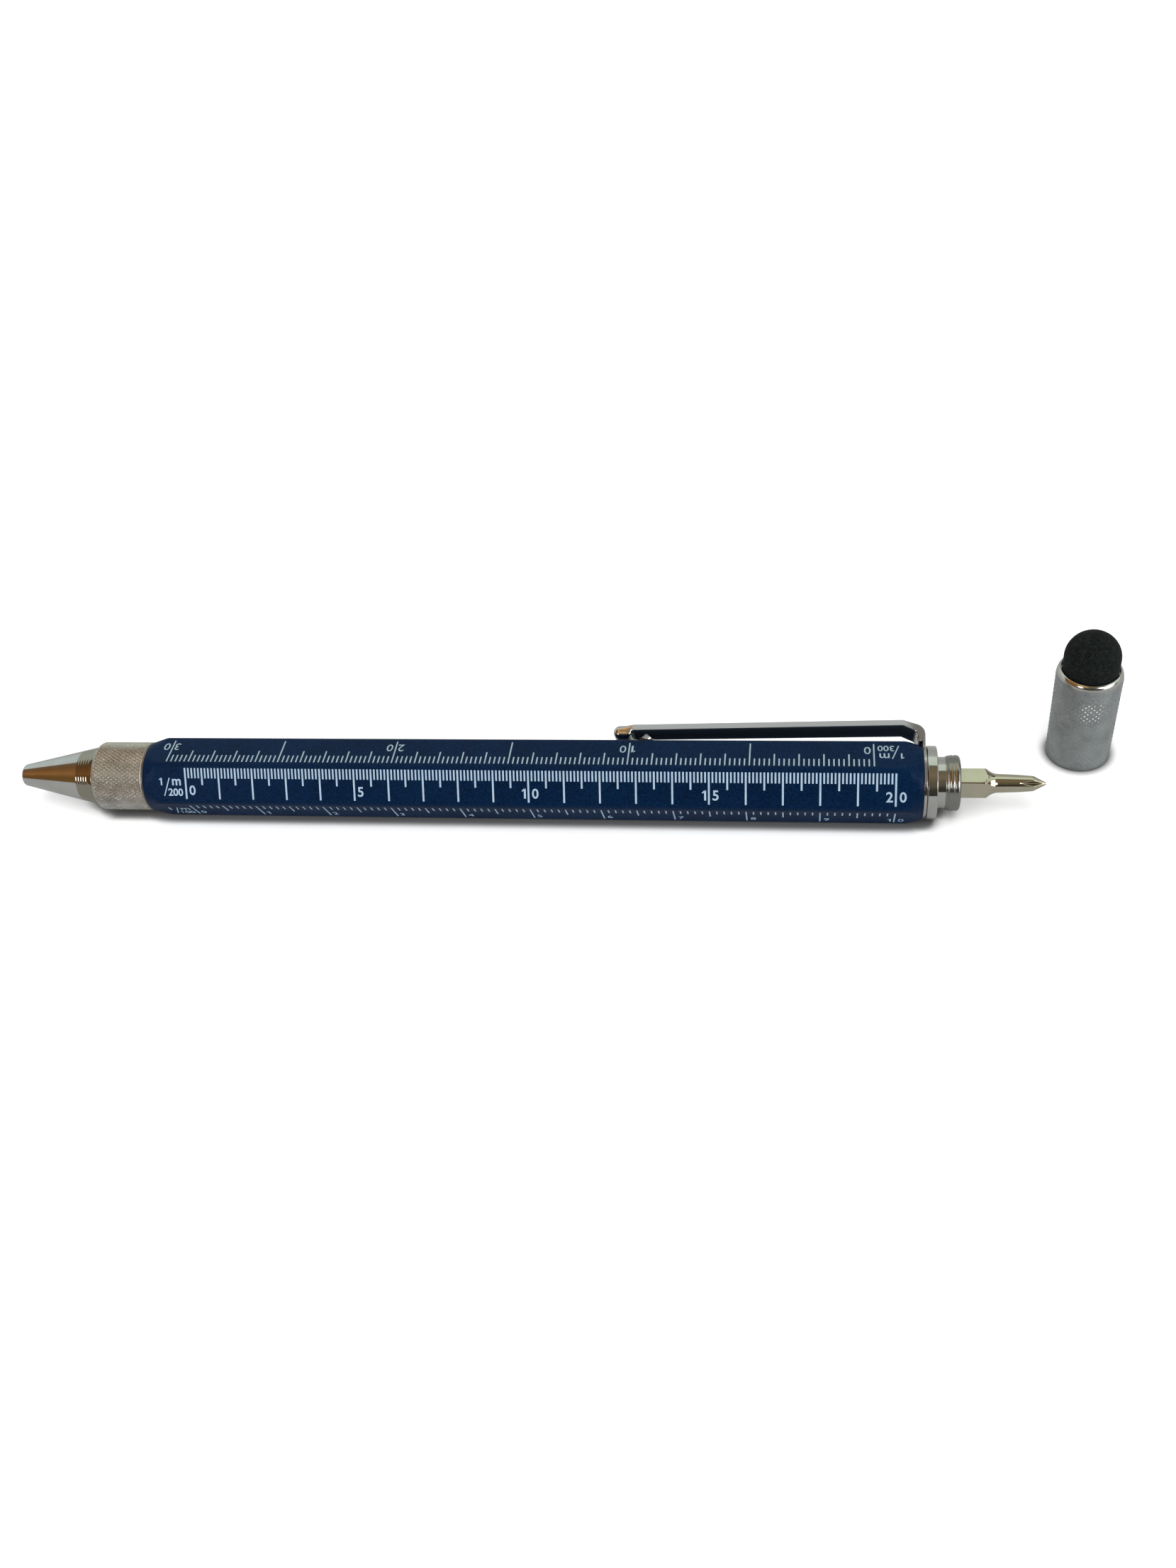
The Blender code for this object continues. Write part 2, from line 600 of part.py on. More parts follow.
def build_refill(refill_axis, tube_material, tip_material, ball_material):
    """Metal refill: ink tube, turned tip and writing ball."""
    ball_radius = BALL_DIAMETER / 2
    mouth = REFILL_FRONT + BALL_DIAMETER * BALL_SHOW_SHARE
    neck_end = REFILL_FRONT + TIP_NECK_LENGTH
    shoulder_end = neck_end + TIP_SHOULDER_LENGTH
    body_end = shoulder_end + TIP_BODY_LENGTH
    spigot_end = body_end + TIP_SPIGOT_LENGTH
    tube_bore = REFILL_RADIUS - REFILL_WALL
    neck = TIP_NECK_DIAMETER / 2
    seat = ball_radius + PRESS_GAP
    seat_floor = REFILL_FRONT + BALL_DIAMETER + PRESS_GAP
    turned("refill_tip", refill_axis, 0.0, [
        (tube_bore - PRESS_GAP, spigot_end),
        (tube_bore - PRESS_GAP, body_end),
        (REFILL_RADIUS, body_end),
        (REFILL_RADIUS, shoulder_end),
        (neck, neck_end),
        (neck, mouth + TIP_MOUTH_TAPER),
        ((neck + seat) / 2, mouth)], tip_material, inner=[
        (seat, mouth),
        (seat, seat_floor),
        (INK_CHANNEL_DIAMETER / 2, seat_floor),
        (INK_CHANNEL_DIAMETER / 2, spigot_end)], steps=SMALL_STEPS)
    turned("refill_tube", refill_axis, 0.0, [
        (REFILL_RADIUS, REFILL_REAR),
        (REFILL_RADIUS, body_end + FACE_GAP)], tube_material, inner=[
        (tube_bore, body_end + FACE_GAP),
        (tube_bore, REFILL_REAR)], steps=INNER_STEPS)
    mesh = bpy.data.meshes.new("writing_ball")
    ball = bmesh.new()
    bmesh.ops.create_uvsphere(ball, u_segments=2 * ARC_STEPS, v_segments=2 * ARC_STEPS, radius=ball_radius)
    ball.to_mesh(mesh)
    ball.free()
    place("writing_ball", mesh, refill_axis, REFILL_FRONT + ball_radius, ball_material)


def bit_envelope(axis):
    """Turned outline of the bit; the same neck is at both ends, the cross point only outside."""
    half = BIT_LENGTH / 2
    wide = BIT_POINT_RADIUS + OVERRUN
    shaft = BIT_SHAFT_DIAMETER / 2
    point_end = half - BIT_POINT_LENGTH
    shaft_end = point_end - BIT_SHAFT_LENGTH
    taper = []
    for step in range(ARC_STEPS + 1):
        share = step / ARC_STEPS
        taper.append((shaft + (wide - shaft) * share ** 2, shaft_end - BIT_TAPER_LENGTH * share))
    mirrored = [(radius, -height) for radius, height in reversed(taper)]
    return turned("bit_envelope", axis, BIT_TIP - half, [
        (0.0, half),
        (BIT_POINT_FLAT / 2, half),
        (BIT_NECK_DIAMETER / 2, point_end),
        *taper,
        *mirrored,
        (shaft, -half),
        (0.0, -half)], steps=INNER_STEPS)


def build_bit(bit_axis, material):
    """Reversible bit: hexagon in the middle, cross point outside, flat blade inside."""
    middle = BIT_TIP - BIT_LENGTH / 2
    bit = hex_bar("driver_bit", bit_axis, middle, BIT_FLATS, BIT_LENGTH + 2 * OVERRUN, BIT_ROLL, material)
    soften(bit, BIT_EDGE, 1)
    combine(bit, bit_envelope(bit_axis), "INTERSECT")
    lean = math.atan((BIT_SHAFT_DIAMETER / 2 - FLUTE_ROOT_RADIUS) / FLUTE_LENGTH)
    side = BIT_SHAFT_DIAMETER
    reach = FLUTE_LENGTH + 2 * OVERRUN
    flutes = []
    for quarter in range(4):
        flutes.append(
            Matrix.Rotation(FLUTE_ROLL + QUARTER_TURN * quarter, 4, "Z")
            @ Matrix.Translation((FLUTE_ROOT_RADIUS, 0.0, BIT_LENGTH / 2))
            @ Matrix.Rotation(-lean, 4, "Y")
            @ Matrix.Translation((side / math.sqrt(2.0), 0.0, OVERRUN - reach / 2))
            @ Matrix.Rotation(EIGHTH_TURN, 4, "Z")
            @ Matrix.Diagonal((side, side, reach, 1.0)))
    combine(bit, block("bit_flutes", bit_axis, middle, flutes), "DIFFERENCE")
    slope = math.atan((BIT_SHAFT_DIAMETER - BLADE_THICKNESS) / 2 / BLADE_LENGTH)
    flats = []
    for half_turn in range(2):
        flats.append(
            Matrix.Rotation(BIT_ROLL + HALF_TURN * half_turn, 4, "Z")
            @ Matrix.Translation((BLADE_THICKNESS / 2, 0.0, -BIT_LENGTH / 2))
            @ Matrix.Rotation(slope, 4, "Y")
            @ Matrix.Translation((side / 2, 0.0, reach / 2 - OVERRUN))
            @ Matrix.Diagonal((side, 2 * side, reach, 1.0)))
    combine(bit, block("bit_blade_flats", bit_axis, middle, flats), "DIFFERENCE")


def thread_rings():
    """Outline of the cap's thread on the collar, from its rear end to the neck."""
    crest = THREAD_DIAMETER / 2
    root = crest - THREAD_DEPTH
    points = arc((crest - THREAD_ROUND, THREAD_REAR - THREAD_ROUND), THREAD_ROUND, 90.0, 0.0)
    turns = int((THREAD_LENGTH - 2 * THREAD_ROUND) / THREAD_PITCH)
    for turn in range(turns):
        top = THREAD_REAR - THREAD_ROUND - THREAD_PITCH * turn
        points.append((root, top - THREAD_PITCH / 2))
        points.append((crest, top - THREAD_PITCH))
    points.append((NECK_DIAMETER / 2, NECK_REAR))
    return points


def build_collar(axis, material):
    """Screwed-in collar: flange, neck and cap thread outside, hexagon socket inside."""
    collar = turned("bit_collar", axis, 0.0, [
        (0.0, THREAD_REAR),
        *thread_rings(),
        (NECK_DIAMETER / 2, FLANGE_REAR),
        (FLANGE_RADIUS - FLANGE_CHAMFER, FLANGE_REAR),
        (FLANGE_RADIUS, FLANGE_REAR - FLANGE_CHAMFER),
        (FLANGE_RADIUS, FLANGE_FRONT + FLANGE_CHAMFER),
        (FLANGE_RADIUS - FLANGE_CHAMFER, FLANGE_FRONT),
        (SHANK_RADIUS, FLANGE_FRONT),
        (SHANK_RADIUS, SHANK_FRONT),
        (0.0, SHANK_FRONT)], material)
    socket_length = THREAD_REAR - SHANK_FRONT + 2 * OVERRUN
    socket_middle = (THREAD_REAR + SHANK_FRONT) / 2
    socket = hex_bar("bit_socket", axis, socket_middle, SOCKET_FLATS, socket_length, BIT_ROLL)
    combine(collar, socket, "DIFFERENCE")


def build_insert(axis, material):
    """Brass sleeve pressed in the barrel's rear, with the thread for the collar."""
    turned("rear_insert", axis, 0.0, [
        (INSERT_RADIUS, INSERT_REAR),
        (INSERT_RADIUS, INSERT_FRONT)], material, inner=[
        (INSERT_BORE_RADIUS, INSERT_FRONT),
        (INSERT_BORE_RADIUS, INSERT_REAR)])


def build_magnet(axis, material):
    """Magnet at the bottom of the socket, which keeps the bit in."""
    radius = SOCKET_FLATS / 2 - PRESS_GAP
    turned("bit_magnet", axis, 0.0, [
        (0.0, MAGNET_REAR),
        (radius, MAGNET_REAR),
        (radius, SHANK_FRONT),
        (0.0, SHANK_FRONT)], material, steps=INNER_STEPS)


def clip_outline():
    """Side view of the clip: x runs along the pen, y away from its axis."""
    flat = BARREL_FLAT_RADIUS
    tip = CLIP_RING_REAR - CLIP_LENGTH
    low = (CLIP_RING_RADIUS + SHANK_RADIUS) / 2
    foot = flat + CLIP_FOOT_GAP
    leg = CLIP_RING_REAR - CLIP_LEG_THICKNESS
    shoulder = CLIP_RING_REAR - CLIP_SHOULDER_LENGTH
    top = flat + CLIP_RISE_REAR
    tip_top = flat + CLIP_RISE_TIP
    nose_radius = CLIP_TIP_DEPTH / 2
    inside_radius = CLIP_CORNER_RADIUS - CLIP_THICKNESS / 2
    outside = arc((CLIP_RING_REAR - CLIP_CORNER_RADIUS, top - CLIP_SHOULDER_DROP - CLIP_CORNER_RADIUS),
                  CLIP_CORNER_RADIUS, 0.0, CLIP_CORNER_SWEEP)
    nose = arc((tip + nose_radius, tip_top - nose_radius), nose_radius, 90.0, 270.0, 2 * ARC_STEPS)
    heel = arc((tip + CLIP_TIP_LENGTH - CLIP_TIP_FILLET, tip_top - CLIP_TIP_DEPTH + CLIP_TIP_FILLET),
               CLIP_TIP_FILLET, -90.0, 0.0)
    inside = arc((leg - inside_radius, top - CLIP_SHOULDER_DROP - CLIP_THICKNESS - inside_radius),
                 inside_radius, CLIP_CORNER_SWEEP, 0.0)
    return [
        (CLIP_RING_REAR, low), *outside, (shoulder, top), *nose, *heel,
        (tip + CLIP_TIP_LENGTH, tip_top - CLIP_THICKNESS), (shoulder, top - CLIP_THICKNESS),
        *inside, (leg, foot), (CLIP_RING_FRONT, foot), (CLIP_RING_FRONT, low)]


def build_clip(axis, clip_frame, material):
    """Pressed clip: leg, arm, rounded tip and contact ball, in one piece with its ring."""
    outline = bpy.data.curves.new("pocket_clip_outline", "CURVE")
    outline.dimensions = "2D"
    outline.fill_mode = "BOTH"
    outline.extrude = CLIP_WIDTH / 2
    spline = outline.splines.new("POLY")
    points = clip_outline()
    spline.points.add(len(points) - 1)
    for point, (along, out) in zip(spline.points, points):
        point.co = (along, out, 0.0, 1.0)
    spline.use_cyclic_u = True
    flat_strip = bpy.data.objects.new("pocket_clip_outline", outline)
    bpy.data.collections[COLLECTION_NAME].objects.link(flat_strip)
    bpy.context.view_layer.update()
    evaluated = flat_strip.evaluated_get(bpy.context.evaluated_depsgraph_get())
    mesh = bpy.data.meshes.new_from_object(evaluated)
    mesh.name = "pocket_clip"
    strip = bmesh.new()
    strip.from_mesh(mesh)
    bmesh.ops.remove_doubles(strip, verts=strip.verts, dist=MERGE_DISTANCE)
    tip = CLIP_RING_REAR - CLIP_LENGTH
    for vert in strip.verts:
        along = (CLIP_RING_REAR - vert.co.x) / (CLIP_RING_REAR - tip)
        vert.co.z *= 1.0 + (CLIP_TIP_WIDTH_SHARE - 1.0) * along
    strip.to_mesh(mesh)
    strip.free()
    bpy.data.objects.remove(flat_strip, do_unlink=True)
    clip = place("pocket_clip", mesh, clip_frame, 0.0, material)
    soften(clip, CLIP_EDGE, 2)
    ring = turned("clip_ring", axis, 0.0, [
        (CLIP_RING_RADIUS, CLIP_RING_REAR),
        (CLIP_RING_RADIUS, CLIP_RING_FRONT)], inner=[
        (SHANK_RADIUS + PRESS_GAP, CLIP_RING_FRONT),
        (SHANK_RADIUS + PRESS_GAP, CLIP_RING_REAR)])
    combine(clip, ring, "UNION")
    ball_radius = CLIP_BALL_DIAMETER / 2
    ball_mesh = bpy.data.meshes.new("clip_ball")
    ball = bmesh.new()
    height = BARREL_FLAT_RADIUS + CLIP_BALL_GAP + ball_radius
    bmesh.ops.create_uvsphere(ball, u_segments=SMALL_STEPS, v_segments=SMALL_STEPS // 2, radius=ball_radius,
                              matrix=Matrix.Translation((tip + CLIP_BALL_INSET, height, 0.0)))
    ball.to_mesh(ball_mesh)
    ball.free()
    combine(clip, place("clip_ball", ball_mesh, clip_frame, 0.0), "UNION")


def build_cap(cap_frame, material):
    """Slightly tapered cap, standing on its mouth, with a recess for the stylus on top."""
    rim = arc((CAP_CROWN_RADIUS - CAP_RIM_ROUND, CAP_HEIGHT - CAP_RIM_ROUND), CAP_RIM_ROUND, 90.0, 0.0)
    stud = FERRULE_STUD_DIAMETER / 2 + PRESS_GAP
    turned("cap_shell", cap_frame, 0.0, [
        (CAP_RECESS_RADIUS, CAP_HEIGHT),
        *rim,
        (CAP_MOUTH_RADIUS, CAP_MOUTH_CHAMFER),
        (CAP_MOUTH_RADIUS - CAP_MOUTH_CHAMFER, 0.0)], material, inner=[
        (CAP_BORE_RADIUS, 0.0),
        (CAP_BORE_RADIUS, CAP_DEPTH),
        (stud, CAP_DEPTH),
        (stud, CAP_RECESS_FLOOR),
        (CAP_RECESS_RADIUS, CAP_RECESS_FLOOR)])


def build_stylus(cap_frame, dome_material, ferrule_material):
    """Hollow rubber dome held by a barbed stud in the cap's crown."""
    floor = CAP_RECESS_FLOOR + FACE_GAP
    equator = floor + STYLUS_COLLAR_HEIGHT
    bore = STYLUS_RADIUS - STYLUS_WALL
    dome = arc((0.0, equator), STYLUS_RADIUS, 90.0, 0.0, 2 * ARC_STEPS)
    hollow = arc((0.0, equator), bore, 0.0, 90.0, 2 * ARC_STEPS)
    turned("stylus_dome", cap_frame, 0.0, [
        (0.0, dome[0][1]),
        *dome[1:],
        (STYLUS_RADIUS, floor),
        (bore, floor),
        *hollow[:-1],
        (0.0, hollow[-1][1])], dome_material, steps=INNER_STEPS)
    stud = FERRULE_STUD_DIAMETER / 2
    top = floor + FERRULE_HEIGHT
    turned("stylus_ferrule", cap_frame, 0.0, [
        (0.0, top),
        (FERRULE_RADIUS - FERRULE_CHAMFER, top),
        (FERRULE_RADIUS, top - FERRULE_CHAMFER),
        (FERRULE_RADIUS, (floor + top) / 2),
        (FERRULE_RADIUS - FERRULE_BARB, (floor + top) / 2),
        (FERRULE_RADIUS - FERRULE_BARB, floor),
        (stud, floor),
        (stud, CAP_DEPTH),
        (FERRULE_POCKET_DIAMETER / 2, CAP_DEPTH),
        (FERRULE_POCKET_DIAMETER / 2, POCKET_TOP),
        (0.0, POCKET_TOP)], ferrule_material, steps=INNER_STEPS)


def build_pen():
    """Make every piece of the pen and its cap."""
    clear_scene()
    new_collection(COLLECTION_NAME)
    new_collection(CUTTER_COLLECTION_NAME)

    navy = new_material("navy_lacquer", (0.010, 0.030, 0.070), 0.35, 0.3)
    chrome = new_material("polished_chrome", (0.62, 0.62, 0.61), 0.08, 1.0)
    satin = new_material("satin_nickel", (0.33, 0.31, 0.28), 0.35, 1.0)
    bit_nickel = new_material("bit_nickel", (0.60, 0.56, 0.44), 0.2, 1.0)
    brass = new_material("brass", (0.60, 0.44, 0.17), 0.3, 1.0)
    steel = new_material("spring_steel", (0.45, 0.45, 0.47), 0.3, 1.0)
    acetal = new_material("white_acetal", (0.75, 0.75, 0.72), 0.45, 0.0)
    grey_satin = new_material("cap_satin", (0.20, 0.22, 0.23), 0.4, 1.0)
    rubber = new_material("stylus_rubber", (0.012, 0.013, 0.014), 0.8, 0.0)

    pen_axis = new_empty("pen_axis", (0.0, 0.0, BARREL_FLAT_RADIUS), (0.0, QUARTER_TURN, 0.0))
    grip_axis = new_empty("grip_axis", (0.0, 0.0, BARREL_FLAT_RADIUS), (0.0, QUARTER_TURN, 0.0))
    refill_axis = new_empty("refill_axis", (0.0, 0.0, BARREL_FLAT_RADIUS), (0.0, QUARTER_TURN, 0.0))
    bit_axis = new_empty("bit_axis", (0.0, 0.0, BARREL_FLAT_RADIUS), (0.0, QUARTER_TURN, 0.0))
    clip_frame = new_empty("clip_frame", (0.0, 0.0, BARREL_FLAT_RADIUS), (CLIP_ROLL, 0.0, 0.0))
    cap_frame = new_empty("cap_frame", (CAP_STAND_X, CAP_STAND_Y, 0.0), (0.0, 0.0, 0.0))

    build_barrel(pen_axis, navy)
    build_bushing(pen_axis, chrome)
    build_friction_ring(pen_axis, rubber)
    build_anchor(pen_axis, acetal)
    build_guide_tube(pen_axis, acetal)
    build_insert(pen_axis, brass)
    build_collar(pen_axis, chrome)
    build_magnet(pen_axis, steel)
    build_clip(pen_axis, clip_frame, chrome)

    build_grip(grip_axis, satin)
    build_nose_cone(grip_axis, chrome)
    build_cam_tube(grip_axis, brass)
    build_retaining_ring(grip_axis, steel)

    build_follower(refill_axis, acetal)
    cross_pin("follower_pin", refill_axis, FOLLOWER_PIN_DIAMETER / 2, 2 * PRESS_GAP,
              CAM_RADIUS - PRESS_GAP, steel)
    build_refill(refill_axis, steel, brass, steel)

    build_bit(bit_axis, bit_nickel)

    build_cap(cap_frame, grey_satin)
    build_stylus(cap_frame, rubber, chrome)


build_pen()
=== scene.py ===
"""Looks of the multi tool pen: fine surfaces, knurls, threads, printed scales and finishes.

Lengths are in metres, in the frame of the packed model. The pen lies along X with its nose
towards -X. An angle round the pen is counted from its top towards the camera's side.
"""

import math

import bmesh
import bpy
from mathutils import Matrix, Vector


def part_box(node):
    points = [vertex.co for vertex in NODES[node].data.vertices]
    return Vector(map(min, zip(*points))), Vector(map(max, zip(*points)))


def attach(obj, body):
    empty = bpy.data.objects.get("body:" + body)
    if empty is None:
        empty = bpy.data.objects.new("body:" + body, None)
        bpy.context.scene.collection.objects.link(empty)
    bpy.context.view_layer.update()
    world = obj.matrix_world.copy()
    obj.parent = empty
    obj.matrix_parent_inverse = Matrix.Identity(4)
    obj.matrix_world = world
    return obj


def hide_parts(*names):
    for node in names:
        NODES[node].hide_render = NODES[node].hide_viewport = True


bl_info = {
    "name": "Multi tool pen",
    "version": (1, 0, 0),
    "blender": (4, 5, 0),
    "location": "3D View > Sidebar > Pen",
    "description": "Builds the looks of a six-sided multi tool pen over its packed model",
    "category": "Object",
}

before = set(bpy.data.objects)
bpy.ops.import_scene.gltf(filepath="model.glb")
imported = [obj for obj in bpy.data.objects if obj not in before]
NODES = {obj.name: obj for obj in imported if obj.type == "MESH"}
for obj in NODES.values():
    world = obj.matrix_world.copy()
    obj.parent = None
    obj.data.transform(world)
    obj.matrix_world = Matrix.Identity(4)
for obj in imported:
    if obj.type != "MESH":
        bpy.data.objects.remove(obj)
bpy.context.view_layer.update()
BARREL_LOW, BARREL_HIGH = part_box("hex_barrel")
GRIP_LOW, GRIP_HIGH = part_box("knurled_grip")
NOSE_LOW, NOSE_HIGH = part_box("nose_cone")
BUSHING_LOW, BUSHING_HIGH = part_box("front_bushing")
COLLAR_LOW, COLLAR_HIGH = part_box("bit_collar")
BIT_LOW, BIT_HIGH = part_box("driver_bit")
CLIP_LOW, CLIP_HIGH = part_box("pocket_clip")
CAP_LOW, CAP_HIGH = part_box("cap_shell")
DOME_LOW, DOME_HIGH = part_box("stylus_dome")
TIP_LOW, TIP_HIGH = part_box("refill_tip")
BALL_LOW, BALL_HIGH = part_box("writing_ball")

AXIS_HEIGHT = (BARREL_LOW.z + BARREL_HIGH.z) / 2
CAP_X = (CAP_LOW.x + CAP_HIGH.x) / 2
CAP_Y = (CAP_LOW.y + CAP_HIGH.y) / 2
CLIP_ROLL = math.radians(30.0)
SIXTH = math.radians(60.0)
SHARP = math.radians(28.0)
STRAIGHT = math.radians(12.0)
ROUND_STEPS = 3
ROUND_SHARE = 0.4
HAIR = 0.00005
MERGE = 1e-8
INCH = 0.0254
BLACK = (0.0, 0.0, 0.0)
WHITE = (1.0, 1.0, 1.0)


def setting(kind, default, description, **options):
    """A property that still waits for its name."""
    return lambda name: kind(name=name, description=description, default=default, **options)


def length(default, description):
    """A size in metres."""
    return setting(bpy.props.FloatProperty, default, description, unit="LENGTH", precision=5)


def turn(default, description):
    """An angle; the default is in degrees."""
    return setting(bpy.props.FloatProperty, math.radians(default), description, subtype="ANGLE")


def share(default, description):
    """A share from nothing to all."""
    return setting(bpy.props.FloatProperty, default, description, min=0.0, max=1.0, subtype="FACTOR")


def colour(default, description):
    """A linear colour."""
    return setting(bpy.props.FloatVectorProperty, default, description, size=3, min=0.0, max=4.0,
                   subtype="COLOR")


def count(default, description):
    """A number of like things."""
    return setting(bpy.props.IntProperty, default, description)


def named(group):
    """Name every setting of a group after its key."""
    group.__annotations__ = {key: make(key.replace("_", " ").capitalize())
                             for key, make in group.__annotations__.items()}
    return group


@named
class PenBarrelSettings(bpy.types.PropertyGroup):
    """Sizes and colours of the six-sided barrel."""

    flats: length(BARREL_HIGH.z - BARREL_LOW.z, "Distance between opposite flats")
    corner: length(0.00085, "Rounding of the six long corners")
    end_angle: turn(18.0, "Slope of the turned ends against the axis")
    lacquer: colour((0.0000, 0.0060, 0.0260), "Colour of the navy lacquer")
    lacquer_light: colour((0.0008, 0.0180, 0.0590), "Colour of its lighter grain")
    sheen: share(0.10, "Strength of the lacquer's reflections")
    roughness: share(0.36, "Roughness of the lacquer")


@named
class PenScaleSettings(bpy.types.PropertyGroup):
    """Sizes and colours of the printed scales."""

    start: length(-0.048545, "Place of the zero mark of the first scale along the pen")
    span: length(0.1, "Length of every scale")
    top_start: length(0.048575, "Place of the zero mark of the scale on top")
    depth: length(0.000012, "Height of the ink over the lacquer")
    fine: length(0.00019, "Width of a fine mark")
    bold: length(0.00023, "Width of a bold mark")
    digit: length(0.00142, "Height of a digit on the two upper flats")
    small_digit: length(0.00116, "Height of a digit on the other flats")
    label: length(0.00111, "Height of the ratio's figures")
    ink: colour((0.43, 0.58, 0.73), "Colour of the bold ink")
    pale_ink: colour((0.36, 0.48, 0.53), "Colour of the thin ink on the other flats")
    dim_ink: colour((0.25, 0.35, 0.46), "Colour of the thin ink under the front edge")


@named
class PenGripSettings(bpy.types.PropertyGroup):
    """Sizes and colours of the knurled grip."""

    shoulder: length(0.0006, "Rounding of the front edge")
    chamfer: length(0.00012, "Chamfer of the rear edge")
    diamonds: count(60, "Diamonds round the grip")
    rows: count(18, "Half rows of diamonds along the grip")
    depth: length(0.00010, "Depth of the knurl")
    flat: share(0.35, "Share of each diamond that stays flat")
    metal: colour((0.56, 0.55, 0.515), "Colour of the satin plate")
    roughness: share(0.37, "Roughness of the satin plate")
    # Painted glints: specks of matt white in place of highlights on the knurl.
    glint: share(0.75, "How white the scattered glints of its grain are")


@named
class PenNoseSettings(bpy.types.PropertyGroup):
    """Sizes of the nose cone and colours of its ripples."""

    base: length(0.004375, "Radius of the cone's base")
    base_place: length(-0.06335, "Where the base lies along the pen")
    tip: length(0.001625, "Radius of the tip")
    ripples: count(5, "Turned ripples at the base")
    ripple_start: length(0.00060, "Distance of the first ripple from the base")
    ripple_pitch: length(0.00043, "Distance between two ripples")
    ripple_depth: length(0.000025, "Depth of the ripples")
    land: colour((0.36, 0.34, 0.28), "Colour of the ripples")


@named
class PenCollarSettings(bpy.types.PropertyGroup):
    """Sizes of the bit collar and its thread."""

    flange_front: length(0.05565, "Front face of the flange")
    flange_rear: length(0.0570, "Rear face of the flange")
    neck_rear: length(0.05815, "End of the neck")
    neck: length(0.00355, "Radius of the neck")
    crest: length(0.0038, "Radius of the thread's crest")
    end_round: length(0.00045, "Rounding of the rear end")
    pitch: length(0.00048, "Pitch of the thread")
    depth: length(0.00005, "Depth of the thread")
    socket: length(0.0041, "Distance across the flats of the socket")
    worn: colour((0.31, 0.315, 0.30), "Colour of the thread's plate")


@named
class PenBitSettings(bpy.types.PropertyGroup):
    """Sizes and colours of the driver bit."""

    flats: length(0.0040, "Distance across the flats of the hexagon")
    edge: length(0.00014, "Rounding of the hexagon's edges")
    roll: turn(48.0, "Angle of a corner, which is also that of a flute")
    point: length(0.00175, "Length of the tapered point")
    shaft: length(0.00455, "Length of the round shaft")
    taper: length(0.0023, "Length between the shaft and the hexagon")
    shaft_radius: length(0.00128, "Radius of the shaft at the hexagon")
    neck_radius: length(0.00111, "Radius of the shaft at the point")
    point_flat: length(0.00015, "Radius of the blunt tip")
    flute: length(0.0052, "Length of the flutes")
    root: length(0.00022, "Distance of the flutes from the axis at the tip")
    blade: length(0.0045, "Length of the blade's flats")
    blade_half: length(0.00025, "Half the thickness of the blade")
    metal: colour((0.62, 0.58, 0.46), "Colour of the nickel plate")
    # Painted shade: the dark colour down in the flutes.
    sunk: colour((0.115, 0.100, 0.060), "Colour of the plate down in the flutes")
    roughness: share(0.05, "Roughness of the nickel plate")


@named
class PenClipSettings(bpy.types.PropertyGroup):
    """Sizes and colours of the pocket clip."""

    reach: length(0.0430, "Length from the ring's rear to the tip")
    width: length(0.0048, "Width at the shoulder")
    tip_share: share(0.88, "Width at the tip, as a share of that at the shoulder")
    thickness: length(0.00088, "Thickness of the arm")
    leg: length(0.00095, "Thickness of the leg")
    rise_rear: length(0.00322, "Height of the arm over the flat, at the shoulder")
    rise_tip: length(0.002455, "Height of the arm over the flat, at the tip")
    shoulder: length(0.0030, "Length of the sloping shoulder")
    drop: length(0.00056, "How much the shoulder slopes")
    corner: length(0.0015, "Outer radius of the bend")
    sweep: turn(74.0, "Angle of the bend")
    tip_length: length(0.0026, "Length of the rounded tip")
    tip_depth: length(0.00184, "Depth of the rounded tip")
    tip_fillet: length(0.0009, "Rounding of the tip's heel")
    tip_round: length(0.00080, "Rounding of the tip's sides")
    edge: length(0.00016, "Rounding of the pressed edges")
    ball: length(0.0010, "Radius of the contact ball")
    ball_inset: length(0.0046, "Distance of the ball from the tip")
    bright: colour((0.62, 0.62, 0.61), "Colour of the chrome")
    dull: colour((0.54, 0.54, 0.53), "Colour of its smears")
    cut: colour((0.37, 0.40, 0.405), "Colour of the cut edges")
    bent: colour((0.15, 0.145, 0.14), "Colour of the cut edges at the bend and the leg")
    # Painted shade: a matt dark colour on the side of the clip that faces the barrel.
    shade: colour((0.035, 0.052, 0.078), "Colour of the side that faces the barrel")


@named
class PenCapSettings(bpy.types.PropertyGroup):
    """Sizes and colours of the cap and the stylus."""

    mouth: length(0.00436, "Outer radius at the mouth")
    crown: length(0.00449, "Outer radius at the crown")
    rim: length(0.00055, "Rounding of the rim across the wall")
    drop: length(0.0014, "Rounding of the rim down the wall")
    knurl_low: length(0.0007, "Height at which the knurl starts")
    knurl_high: length(0.01340, "Height at which the knurl ends")
    diamonds: count(36, "Diamonds round the cap")
    rows: count(34, "Half rows of diamonds up the cap")
    knurl_depth: length(0.00004, "Depth of the knurl")
    flat: share(0.5, "Share of each diamond that stays flat")
    metal: colour((0.43, 0.465, 0.475), "Colour of the grey plate")
    roughness: share(0.46, "Roughness of the grey plate")
    dome: length(0.00377, "Radius of the dome")
    polished: colour((0.60, 0.60, 0.58), "Colour of the polished rim")
    rubber: colour((0.0024, 0.0034, 0.0034), "Colour of the rubber")


@named
class PenMetalSettings(bpy.types.PropertyGroup):
    """Colours of the plated and bare metals and of the plastic."""

    chrome: colour((0.62, 0.62, 0.61), "Colour of the chrome plate")
    chrome_roughness: share(0.07, "Roughness of the chrome plate")
    bushing: colour((0.26, 0.255, 0.235), "Colour of the dull plate behind the grip")
    brass: colour((0.60, 0.44, 0.17), "Colour of the brass")
    steel: colour((0.45, 0.45, 0.47), "Colour of the steel")
    acetal: colour((0.75, 0.75, 0.72), "Colour of the white plastic")


